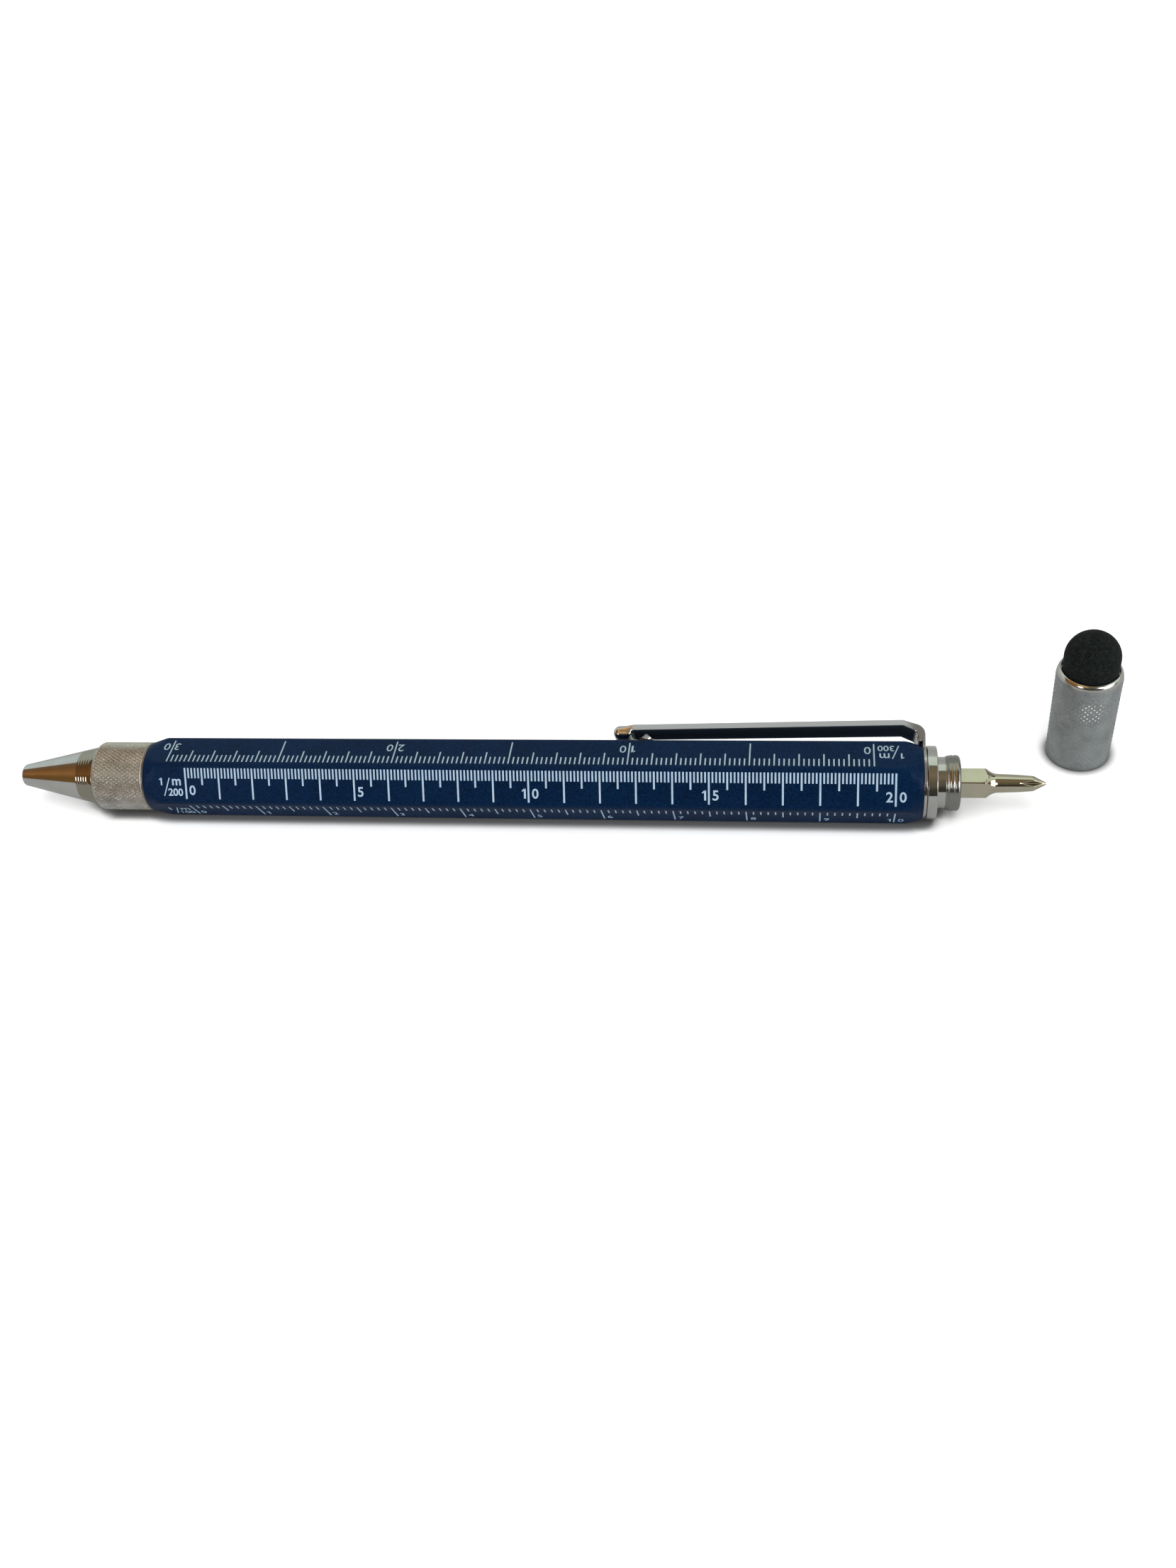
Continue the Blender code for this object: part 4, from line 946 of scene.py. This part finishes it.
class PEN_OT_scales(bpy.types.Operator):
    """Print the scales, their numbers and their ratios on the flats"""

    bl_idname = "pen.scales"
    bl_label = "Printed scales"

    def execute(self, context):
        look = context.scene.pen_look
        scales = look.scales
        thin = (0.0046, scales.small_digit, 0.00055, 0.0)

        front = Flat(look, 30.0, 90.0)
        front.rule(scales.start, scales.span / 200, 200, 0.0006, {10: 0.00514, 5: 0.00308, 1: 0.00209},
                   scales.bold, (50, 10, 0.00457, scales.digit, 0.00050, 0.016), 1.1)
        front.ratio(200, scales.start, 0.02)
        front.done("scale_one_to_200", print_ink("bold_ink", scales.ink))

        top = Flat(look, 30.0, -30.0, reverse=True)
        top.rule(scales.top_start, -scales.span / 150, 150, 0.00053, {25: 0.00504, 5: 0.0029, 1: 0.00193},
                 scales.fine, (50, 5, 0.00442, scales.digit, 0.00042, 0.0))
        top.ratio(300, scales.top_start, 0.008)
        top.done("scale_one_to_300", print_ink("pale_ink", scales.pale_ink))

        lower = Flat(look, 90.0, 150.0)
        lower.rule(scales.start, scales.span / 100, 100, 0.00084, {10: 0.00491, 5: 0.00319, 1: 0.0021},
                   scales.fine, (10, 10, *thin))
        lower.ratio(100, scales.start, 0.0)
        lower.done("scale_one_to_100", print_ink("dim_ink", scales.dim_ink))

        under = Flat(look, 150.0, 210.0)
        under.rule(scales.start, scales.span / 100, 100, 0.0007, {10: 0.0046, 5: 0.0034, 1: 0.0023},
                   scales.fine, (10, 10, *thin))
        under.words("cm", scales.start - 0.0006, 0.0046, 0.0009, 0.0, -1)
        under.done("ruler_centimetres", print_ink("pale_ink", scales.pale_ink))

        rear = Flat(look, 270.0, 210.0, reverse=True)
        rear.rule(scales.top_start, -INCH / 16, 64, 0.0007, {16: 0.0046, 8: 0.0036, 4: 0.0029, 1: 0.0022},
                  scales.fine, (16, 16, *thin))
        rear.words("in", scales.top_start + 0.0006, 0.0046, 0.0010, 0.0, -1)
        rear.done("ruler_inches", print_ink("pale_ink", scales.pale_ink))
        return {"FINISHED"}


class PEN_OT_grip(bpy.types.Operator):
    """Build the grip with its diamond knurl"""

    bl_idname = "pen.grip"
    bl_label = "Knurled grip"

    def execute(self, context):
        grip = context.scene.pen_look.grip
        bore = 0.003095
        crest = (GRIP_HIGH.y - GRIP_LOW.y) / 2
        columns = 2 * grip.diamonds
        first = GRIP_LOW.x + grip.shoulder * 0.8
        last = GRIP_HIGH.x - grip.chamfer - 0.00003

        def place(column, row, height):
            x = first + (last - first) * row / grip.rows
            return on_pen(x, crest - grip.depth * (1.0 - height), math.tau * column / columns)

        skin = Skin()
        front, rear, angles = knurl(skin, place, columns, grip.rows, grip.flat)
        shoulder = arc((GRIP_LOW.x + grip.shoulder, crest - grip.shoulder), grip.shoulder, 108.0, 180.0, 8)
        outline = [*shoulder[:-1], *rounded([
            shoulder[-1], (GRIP_LOW.x, bore), (GRIP_HIGH.x, bore), (GRIP_HIGH.x, crest - grip.chamfer),
            (GRIP_HIGH.x - grip.chamfer, crest)], HAIR, closed=False)]
        skin.loft([front, *skin.around(on_pen, outline, angles), rear])
        # Painted glints: scattered specks of matt white in place of the knurl's highlights.
        satin = satin_plate("satin_nickel", grip.metal, grip.roughness, lambda shader, place: shader.noise(
            place, 5600.0, 1.0, stretch=(0.7, 1.0, 1.0)).step(0.68, 0.73) * grip.glint)
        dress(skin.piece("grip_sleeve"), satin, "grip", ["knurled_grip"])
        return {"FINISHED"}


class PEN_OT_nose(bpy.types.Operator):
    """Build the polished nose cone and the ring behind the grip"""

    bl_idname = "pen.nose"
    bl_label = "Nose cone and ring"

    def execute(self, context):
        look = context.scene.pen_look
        nose = look.nose
        base = nose.base_place
        hole, funnel, cavity, spigot = 0.00075, 0.001425, 0.002415, 0.003055
        hole_end, funnel_end, hollow = NOSE_LOW.x + 0.0015, NOSE_LOW.x + 0.0030, base - 0.0009
        tip_round, steps = 0.0004, 10
        tip = arc((NOSE_LOW.x + tip_round, nose.tip - tip_round), tip_round, 105.0, 180.0, 6)
        slope = (nose.base - tip[0][1]) / (base - tip[0][0])
        ripples = []
        for step in range(steps * nose.ripples + 1):
            inside = nose.ripple_start + nose.ripple_pitch * step / steps
            wave = 0.5 - 0.5 * math.cos(math.tau * step / steps)
            ripples.append((base - inside, nose.base - slope * inside - nose.ripple_depth * wave))
        cone = [
            (NOSE_HIGH.x, spigot), (base, spigot), (base, nose.base), *ripples, *tip, (NOSE_LOW.x, hole),
            (hole_end, hole), (funnel_end, funnel), (hollow, cavity), (NOSE_HIGH.x, cavity)]
        land = nose.ripple_start + nose.ripple_pitch * nose.ripples
        chrome = plate("nose_chrome", look.metal.chrome, 0.07,
                       layer=band(0, base - land, base + 0.001, nose.land, 0.10))
        dress(turned("nose_cone_shell", cone, on_pen, sides=160), chrome, "grip", ["nose_cone"])

        flange = (BUSHING_HIGH.y - BUSHING_LOW.y) / 2
        face = BARREL_LOW.x - 0.00005
        sleeve, bore = 0.003915, 0.003065
        ring = [
            (BUSHING_HIGH.x, sleeve), (face, sleeve), (face, flange), (BUSHING_LOW.x, flange),
            (BUSHING_LOW.x, bore), (BUSHING_HIGH.x, bore)]
        dress(turned("bushing_ring", ring, on_pen), plate("bushing_plate", look.metal.bushing, 0.30),
              "barrel", ["front_bushing"])
        return {"FINISHED"}


class PEN_OT_collar(bpy.types.Operator):
    """Build the bit collar with its thread and hexagon socket"""

    bl_idname = "pen.collar"
    bl_label = "Bit collar"

    def execute(self, context):
        look = context.scene.pen_look
        collar = look.collar
        roll = look.bit.roll
        front, rear, neck, end = collar.flange_front, collar.flange_rear, collar.neck_rear, COLLAR_HIGH.x
        shank, chamfer, mouth = 0.003067, 0.0001, 0.00012
        steps, fading, crown = 60, 6, 0.00022
        flange = (COLLAR_HIGH.y - COLLAR_LOW.y) / 2
        body = [
            (COLLAR_LOW.x, shank), (front, shank), (front, flange - chamfer), (front + chamfer, flange),
            (rear - chamfer, flange), (rear, flange - chamfer), (rear, collar.neck), (neck, collar.neck)]
        angles = even_angles(144, roll)
        skin = Skin()
        rings = skin.around(on_pen, rounded(body, 0.00006, closed=False), angles)
        thread_end = end - collar.end_round
        middle = (neck + thread_end) / 2
        reach = (thread_end - neck) / 2
        for step in range(1, steps + 1):
            x = neck + (thread_end - neck) * step / steps
            crest = collar.crest - (crown * ((x - middle) / reach) ** 2 if x < middle else 0.0)
            depth = collar.depth * min(1.0, step / fading, (steps - step) / fading)
            waves = [0.5 - 0.5 * math.cos(math.tau * (x / collar.pitch) - angle) for angle in angles]
            rings.append(skin.ring([on_pen(x, crest - depth * wave, angle)
                                    for wave, angle in zip(waves, angles)]))
        rings += skin.around(on_pen, arc((thread_end, collar.crest - collar.end_round), collar.end_round,
                                         90.0, 0.0, 8)[1:], angles)
        for x, wider in ((end, mouth), (end - mouth, 0.0), (COLLAR_LOW.x, 0.0)):
            half = collar.socket / 2 + wider
            rings.append(skin.ring([on_pen(x, hex_radius(angle - roll + SIXTH / 2, half, HAIR), angle)
                                    for angle in angles]))
        skin.loft(rings, closed=True)
        # A darker, rougher plate on the thread, from the neck to the end.
        chrome = plate("collar_chrome", look.metal.chrome, 0.07,
                       layer=band(0, neck, end + 0.001, collar.worn, 0.20))
        dress(skin.piece("collar_body"), chrome, "barrel", ["bit_collar"])
        return {"FINISHED"}


class PEN_OT_bit(bpy.types.Operator):
    """Build the double-ended driver bit with its cross point and its blade"""

    bl_idname = "pen.bit"
    bl_label = "Driver bit"

    def execute(self, context):
        bit = context.scene.pen_look.bit
        tip, rear = BIT_HIGH.x, BIT_LOW.x
        wide = bit.flats / 2 / math.cos(SIXTH / 2) + 0.0005
        least = 0.001

        def outline(depth, pointed):
            """Radius of the round outline at a depth from one end."""
            if pointed and depth < bit.point:
                return bit.point_flat + (bit.neck_radius - bit.point_flat) * depth / bit.point
            straight = bit.point + bit.shaft
            if depth < straight:
                along = (depth - bit.point) / bit.shaft if pointed else 1.0
                return bit.neck_radius + (bit.shaft_radius - bit.neck_radius) * along
            return bit.shaft_radius + (wide - bit.shaft_radius) * ((depth - straight) / bit.taper) ** 2

        def radius(x, angle):
            """Radius of the bit at a station and an angle."""
            ahead, behind = tip - x, x - rear
            result = hex_radius(angle - bit.roll + SIXTH / 2, bit.flats / 2, bit.edge)
            result = blend_low(result, outline(ahead, True), 0.00008)
            result = blend_low(result, outline(behind, False), 0.00008)
            if ahead < bit.flute:
                beside = (angle - bit.roll + math.pi / 4) % (math.pi / 2) - math.pi / 4
                root = bit.root + (bit.shaft_radius - bit.root) * ahead / bit.flute
                opening = math.cos(beside) - math.hypot(math.sin(beside), 0.2)
                result = blend_low(result, root / max(opening, least), HAIR)
            if behind < bit.blade:
                thick = bit.blade_half + (bit.shaft_radius - bit.blade_half) / bit.blade * behind
                across = abs(math.cos(angle - bit.roll + math.pi / 6))
                result = blend_low(result, thick / max(across, least), HAIR)
            return max(result, 0.00002)

        # The start, the step and the number of rings of each stretch, as depths from the tip.
        stretches = ((0.0, 0.00003, 2), (0.0, 0.00006, 36), (0.0022, 0.0001, 60), (0.0082, 0.0006, 19),
                     (tip - rear, -0.0001, 86))
        depths = {start + step * k for start, step, number in stretches for k in range(number)}
        angles = even_angles(180, bit.roll)
        skin = Skin()
        rings = [skin.ring([on_pen(tip - depth, radius(tip - depth, angle), angle) for angle in angles])
                 for depth in sorted(depths)]
        front, back = (skin.ring([on_pen(x, 0.0, 0.0)]) for x in (tip, rear))
        skin.loft([front, *rings, back])
        nickel = plate("cream_nickel", bit.metal, bit.roughness, smear=0.04, layer=sunk_flutes(bit))
        dress(skin.piece("bit_body"), nickel, "bit", ["driver_bit"])
        return {"FINISHED"}


def evaluated(thing):
    """The mesh of an object with its modifiers."""
    bpy.context.view_layer.update()
    return bpy.data.meshes.new_from_object(thing.evaluated_get(bpy.context.evaluated_depsgraph_get()))


def merged(name, solids):
    """Join objects as one solid."""
    for other in solids[1:]:
        union = solids[0].modifiers.new("join", "BOOLEAN")
        union.operation = "UNION"
        union.solver = "EXACT"
        union.object = other
    mesh = evaluated(solids[0])
    for old in solids:
        bpy.data.objects.remove(old, do_unlink=True)
    mesh.name = name
    return as_piece(name, mesh)


def inwards(outline):
    """How far each corner of an outline moves for an inset of one."""
    area = sum(a[0] * b[1] - b[0] * a[1] for a, b in zip(outline, [*outline[1:], outline[0]]))
    left = 1.0 if area > 0 else -1.0
    moves = []
    for k, corner in enumerate(outline):
        before = (Vector(corner) - Vector(outline[k - 1])).normalized()
        after = (Vector(outline[(k + 1) % len(outline)]) - Vector(corner)).normalized()
        both = Vector((-before.y - after.y, before.x + after.x)) * left
        moves.append(both / max(0.4, 1.0 + before.dot(after)))
    return moves


class PEN_OT_clip(bpy.types.Operator):
    """Build the pressed pocket clip with its rounded tip and contact ball"""

    bl_idname = "pen.clip"
    bl_label = "Pocket clip"
    ring, ring_radius, ring_hole = 0.0004, 0.004885, 0.003107
    ball_gap, foot_gap = 0.0001, 0.00012

    def execute(self, context):
        look = context.scene.pen_look
        clip = look.clip
        flat = look.barrel.flats / 2
        strip = linked("clip_strip", self.strip(clip, flat))
        rear, front = CLIP_HIGH.x, CLIP_HIGH.x - self.ring
        ring = turned("clip_ring", [(rear, self.ring_radius), (front, self.ring_radius),
                                    (front, self.ring_hole), (rear, self.ring_hole)], on_pen)
        centre = self.at(rear - clip.reach + clip.ball_inset, flat + self.ball_gap + clip.ball, 0.0)
        shape = bmesh.new()
        bmesh.ops.create_uvsphere(shape, u_segments=48, v_segments=32, radius=clip.ball,
                                  matrix=Matrix.Translation(centre))
        mesh = bpy.data.meshes.new("clip_ball")
        shape.to_mesh(mesh)
        shape.free()
        dress(merged("clip_spring", [strip, ring, linked("clip_ball", mesh)]),
              clip_chrome("clip_chrome", clip), "barrel", ["pocket_clip"])
        return {"FINISHED"}

    def at(self, x, out, aside):
        """A place of the clip, out from the pen's axis and aside from the clip's middle."""
        lean, rise = math.sin(CLIP_ROLL), math.cos(CLIP_ROLL)
        return Vector((x, rise * out - lean * aside, AXIS_HEIGHT + lean * out + rise * aside))

    def strip(self, clip, flat):
        """The mesh of the clip's bent strip."""
        rear = CLIP_HIGH.x
        tip, shoulder = rear - clip.reach, rear - clip.shoulder
        leg, ring = rear - clip.leg, rear - self.ring
        low, foot = (self.ring_radius + self.ring_hole) / 2, flat + self.foot_gap
        top, tip_top = flat + clip.rise_rear, flat + clip.rise_tip
        nose, thick = clip.tip_depth / 2, clip.thickness
        bend = clip.corner - thick / 2
        sweep = math.degrees(clip.sweep)
        outer = arc((rear - clip.corner, top - clip.drop - clip.corner), clip.corner, 0.0, sweep, 14)
        inner = arc((leg - bend, top - clip.drop - thick - bend), bend, sweep, 0.0, 10)
        front = arc((tip + nose, tip_top - nose), nose, 90.0, 270.0, 20)
        heel = arc((tip + clip.tip_length - clip.tip_fillet, tip_top - clip.tip_depth + clip.tip_fillet),
                   clip.tip_fillet, -90.0, 0.0, 6)
        rounding, blend, heel_rise, steps = 0.0030, 0.0014, 0.0008, 6
        pinched = [0.0034 - 0.0004 * k for k in range(6)]
        slope = (top - tip_top) / (shoulder - tip - nose)
        outline = [
            (rear, low), *outer, (shoulder, top),
            *[(tip + place, tip_top + slope * (place - nose)) for place in pinched], *front, *heel,
            (tip + clip.tip_length, tip_top - thick),
            (tip + pinched[0], tip_top - thick + slope * heel_rise),
            (shoulder, top - thick), *inner, (leg, foot), (ring, foot), (ring, low)]
        moves = inwards(outline)
        skin = Skin()
        rings = []
        for side in (-1.0, 1.0):
            for step in range(steps + 1):
                angle = math.pi / 2 * (step if side > 0 else steps - step) / steps
                points = []
                for (x, out), move in zip(outline, moves):
                    near_tip = min(1.0, max(0.0, (tip + rounding - x) / blend))
                    edge = clip.edge + (clip.tip_round - clip.edge) * near_tip ** 2 * (3.0 - 2.0 * near_tip)
                    half = clip.width / 2 * (1.0 + (clip.tip_share - 1.0) * (rear - x) / clip.reach)
                    inset = edge * (1.0 - math.cos(angle))
                    points.append(self.at(x + move[0] * inset, out + move[1] * inset,
                                          side * (half - edge * (1.0 - math.sin(angle)))))
                rings.append(skin.ring(points))
        skin.loft(rings)
        skin.faces += [tuple(rings[0]), tuple(reversed(rings[-1]))]
        return skin.mesh("clip_strip")


class PEN_OT_cap(bpy.types.Operator):
    """Build the knurled cap with its polished rim, and the rubber dome"""

    bl_idname = "pen.cap"
    bl_label = "Cap and stylus"

    def execute(self, context):
        cap = context.scene.pen_look.cap
        top = CAP_HIGH.z
        columns = 2 * cap.diamonds
        bore, ceiling, stud, recess = 0.00385, 0.0136, 0.00124, 0.00389
        floor, chamfer, plain = top - 0.0006, 0.00012, 0.00015

        def wall(height):
            return cap.mouth + (cap.crown - cap.mouth) * height / top

        def place(column, row, height):
            z = cap.knurl_low + (cap.knurl_high - cap.knurl_low) * row / cap.rows
            return on_cap(z, wall(z) - cap.knurl_depth * (1.0 - height), math.tau * column / columns)

        skin = Skin()
        low, high, angles = knurl(skin, place, columns, cap.rows, cap.flat)
        rim = [(top - (top - z) * cap.drop / cap.rim, radius)
               for z, radius in arc((top - cap.rim, cap.crown - cap.rim), cap.rim, 90.0, 0.0, 12)]
        over, under = cap.knurl_high + plain, cap.knurl_low - plain
        outline = [(over, wall(over)), *rim, *rounded([
            (top, recess + HAIR), (top - HAIR, recess), (floor, recess), (floor, stud), (ceiling, stud),
            (ceiling, bore), (0.0, bore), (0.0, cap.mouth - chamfer), (chamfer, cap.mouth)],
            HAIR, closed=False), (under, wall(under))]
        skin.loft([high, *skin.around(on_cap, outline, angles), low])
        polished = band(2, top - 0.5 * cap.drop, top + 0.001, cap.polished, 0.16)
        # The cap's small white lights are painted highlights.
        satin = satin_plate("grey_satin", cap.metal, cap.roughness, self.lights(cap), polished)
        dress(skin.piece("cap_body"), satin, "cap", ["cap_shell"])

        foot, round_off = DOME_LOW.z, 0.0002
        outline = [(foot, 0.0), (foot, cap.dome - round_off), (foot + round_off, cap.dome)]
        outline += arc((DOME_HIGH.z - cap.dome, 0.0), cap.dome, 90.0, 0.0, 36)[:-1] + [(DOME_HIGH.z, 0.0)]
        dress(turned("stylus_tip", outline, on_cap, closed=False, sides=144),
              soft_rubber("stylus_rubber", cap.rubber), "cap", ["stylus_dome"])
        return {"FINISHED"}

    def lights(self, cap):
        """Painted highlights: small white spots in the middles of some diamonds, in patches at the front
        and the right.
        """
        def white(shader, place):
            x, y, z = (shader.axis(place, number) for number in range(3))
            around = shader.math("ARCTAN2", x - CAP_X, CAP_Y - y)
            row = (z - cap.knurl_low) * (math.pi * cap.rows / (cap.knurl_high - cap.knurl_low))
            middle = -(shader.math("COSINE", around * cap.diamonds) * shader.math("COSINE", row))
            front = around.within(-0.33, 0.34, 0.08) * z.within(0.0090, 0.0124, 0.0005)
            side = around.within(1.08, 1.40, 0.08) * z.within(0.0078, 0.0114, 0.0006)
            some = shader.noise(place, 1500.0, 1.0).step(0.34, 0.50)
            return middle.step(0.55, 0.80) * (front + side) * some
        return white


class PEN_OT_refill(bpy.types.Operator):
    """Build the turned refill tip and its writing ball"""

    bl_idname = "pen.refill"
    bl_label = "Refill tip"

    def execute(self, context):
        metal = context.scene.pen_look.metal
        ball = (BALL_HIGH.z - BALL_LOW.z) / 2
        body = (TIP_HIGH.z - TIP_LOW.z) / 2
        socket, lip, neck, channel, spigot = ball + 0.00004, ball + 0.00014, 0.00065, 0.0002, body - 0.00024
        mouth, seat = TIP_LOW.x, BALL_HIGH.x + 0.00004
        taper_end, neck_end, shoulder, body_end = mouth + 0.0009, *(
            BALL_LOW.x + reach for reach in (0.0060, 0.0075, 0.0100))
        outline = [
            (mouth, socket), (mouth, lip), (taper_end, neck), (neck_end, neck), (shoulder, body),
            (body_end, body), (body_end, spigot), (TIP_HIGH.x, spigot), (TIP_HIGH.x, channel),
            (seat, channel), (seat, socket)]
        dress(turned("refill_point", outline, on_pen, sides=72, edge=0.00003),
              turned_metal("tip_brass", metal.brass, 0.22), "refill", ["refill_tip"])
        bead = arc((BALL_LOW.x + ball, 0.0), ball, 180.0, 0.0, 24)
        bead = [(BALL_LOW.x, 0.0), *bead[1:-1], (BALL_HIGH.x, 0.0)]
        dress(turned("ball_bead", bead, on_pen, closed=False, sides=48),
              plate("ball_steel", metal.steel, 0.12), "refill", ["writing_ball"])
        return {"FINISHED"}


class PEN_OT_inside(bpy.types.Operator):
    """Give the pieces inside the pen their finishes"""

    bl_idname = "pen.inside"
    bl_label = "Inside pieces"

    def execute(self, context):
        look = context.scene.pen_look
        metal = look.metal
        finishes = {
            turned_metal("turned_brass", metal.brass, 0.28): ("rear_insert", "cam_tube"),
            turned_metal("spring_steel", metal.steel, 0.3): (
                "retaining_ring", "follower_pin", "refill_tube"),
            moulded("white_acetal", metal.acetal, 0.45): ("anchor_plug", "guide_tube", "cam_follower"),
            soft_rubber("ring_rubber", look.cap.rubber): ("friction_ring",),
            plate("magnet_plate", metal.steel, 0.3): ("bit_magnet",),
            plate("polished_chrome", metal.chrome, metal.chrome_roughness): ("stylus_ferrule",)}
        for material, names in finishes.items():
            for name in names:
                coat(NODES[name], material)
        return {"FINISHED"}


class PEN_OT_stage(bpy.types.Operator):
    """Set up the camera, the pale floor and the soft light"""

    bl_idname = "pen.stage"
    bl_label = "Stage"

    def execute(self, context):
        stage = context.scene.pen_look.stage
        self.camera(context, stage)
        self.floor(stage)
        self.light(stage)
        self.world(context, stage)
        context.scene.view_settings.view_transform = "Standard"
        return {"FINISHED"}

    def camera(self, context, stage):
        """Put the camera where the photograph was taken from."""
        lens = bpy.data.cameras.new("camera")
        lens.lens = stage.lens
        lens.sensor_width = 36.0
        lens.clip_start = 0.01
        lens.clip_end = 50.0
        view = Matrix.Translation(stage.place)
        for angle, axis in ((stage.yaw, "Z"), (math.pi / 2 - stage.elevation, "X"), (-stage.roll, "Z")):
            view @= Matrix.Rotation(angle, 4, axis)
        camera = linked("camera", lens)
        camera.matrix_world = view
        context.scene.camera = camera

    def floor(self, stage):
        """Lay a white floor that keeps the pen's shadow."""
        mesh = bpy.data.meshes.new("floor")
        half, under = stage.floor / 2, -0.00004
        corners = [(x * half, y * half, under) for x, y in ((-1, -1), (1, -1), (1, 1), (-1, 1))]
        mesh.from_pydata(corners, [], [(0, 1, 2, 3)])
        floor = linked("floor", mesh)
        material = white_paper("white_paper", stage)
        material.cycles.emission_sampling = "NONE"
        coat(floor, material)

    def light(self, stage):
        """Add one wide soft light from above."""
        sun = bpy.data.lights.new("soft_light", "SUN")
        sun.energy = stage.sun
        sun.angle = stage.sun_angle
        aside = math.radians(-3.0)
        lamp = linked("soft_light", sun)
        lamp.rotation_euler = (stage.sun_tilt, aside, 0.0)
        lamp.visible_glossy = False

    def world(self, context, stage):
        """Light evenly, show white behind the pen, and give the plated metal a room to mirror."""
        world = bpy.data.worlds.new("studio")
        world.use_nodes = True
        context.scene.world = world
        world.cycles.sampling_method = "NONE"
        shader = Shader(world.node_tree)
        direction = shader.node("ShaderNodeTexCoord", output="Generated")
        x, y, z = (shader.axis(direction, number) for number in range(3))
        height = shader.math("ARCTAN2", z, -y) / math.pi
        room = shader.node("ShaderNodeValToRGB", {"stops": [
            (0.00, (0.045, 0.045, 0.040)), (0.10, (0.060, 0.050, 0.035)), (0.17, (0.130, 0.110, 0.080)),
            (0.26, (0.170, 0.135, 0.080)), (0.36, (0.250, 0.195, 0.125)), (0.46, (0.235, 0.175, 0.110)),
            (0.535, (0.190, 0.170, 0.115)), (0.55, (0.76, 0.86, 0.74)), (0.71, (0.83, 0.89, 0.80)),
            (0.75, (0.53, 0.55, 0.49)), (0.89, (0.43, 0.435, 0.40)), (1.00, (0.48, 0.49, 0.45))]},
            {"Fac": height})
        wood = shader.node("ShaderNodeValToRGB", {"stops": [
            (0.00, (0.20, 0.11, 0.045)), (0.12, (0.20, 0.10, 0.030)), (0.20, (0.25, 0.12, 0.035)),
            (0.28, (0.38, 0.175, 0.060)), (0.38, (0.31, 0.14, 0.042)), (0.50, (0.23, 0.11, 0.044)),
            (0.63, (0.20, 0.14, 0.080)), (0.65, (0.68, 0.70, 0.67)), (0.80, (0.68, 0.76, 0.74)),
            (1.00, (0.60, 0.65, 0.62))]}, {"Fac": height})
        room = shader.mix(x.step(-0.60, -0.42), wood, room)
        # Bright patches of the room: where each lies across and up, with its softness, and its colour.
        patches = (
            ((-0.42, -0.15, 0.03), (0.22, 0.68, 0.04), (0.95, 0.55, 0.24)),
            ((0.62, 0.95, 0.03), (-0.30, 0.50, 0.03), scaled(WHITE, 2.0)),
            ((-0.64, -0.47, 0.02), (0.09, 0.19, 0.015), scaled(WHITE, 5.0)),
            ((0.38, 0.85, 0.05), (0.13, 0.26, 0.02), scaled(WHITE, 5.0)))
        for across, up, rgb in patches:
            room = shader.mix(x.within(*across) * height.within(*up), room, rgb)
        light = shader.mix(shader.ray("Is Glossy Ray"), scaled(WHITE, stage.sky), room)
        light = shader.mix(shader.seen(), light, WHITE)
        background = shader.node("ShaderNodeBackground", None, {"Color": light, "Strength": 1.0})
        shader.node("ShaderNodeOutputWorld", None, {"Surface": background})


class PEN_PT_look(bpy.types.Panel):
    """List the builders of the pen's looks."""

    bl_idname = "PEN_PT_look"
    bl_label = "Multi tool pen"
    bl_space_type = "VIEW_3D"
    bl_region_type = "UI"
    bl_category = "Pen"

    def draw(self, context):
        for operator in OPERATORS:
            self.layout.operator(operator.bl_idname)


OPERATORS = (
    PEN_OT_barrel, PEN_OT_scales, PEN_OT_grip, PEN_OT_nose, PEN_OT_collar, PEN_OT_bit, PEN_OT_clip,
    PEN_OT_cap, PEN_OT_refill, PEN_OT_inside, PEN_OT_stage)
CLASSES = (*GROUPS.values(), PenLookSettings, *OPERATORS, PEN_PT_look)


def register():
    """Register the settings, the operators and the panel."""
    for kind in CLASSES:
        bpy.utils.register_class(kind)
    bpy.types.Scene.pen_look = bpy.props.PointerProperty(type=PenLookSettings)


def unregister():
    """Take everything out again."""
    del bpy.types.Scene.pen_look
    for kind in reversed(CLASSES):
        bpy.utils.unregister_class(kind)


def main():
    """Build the whole look."""
    register()
    for operator in OPERATORS:
        group, name = operator.bl_idname.split(".")
        getattr(getattr(bpy.ops, group), name)()


if __name__ == "__main__":
    main()
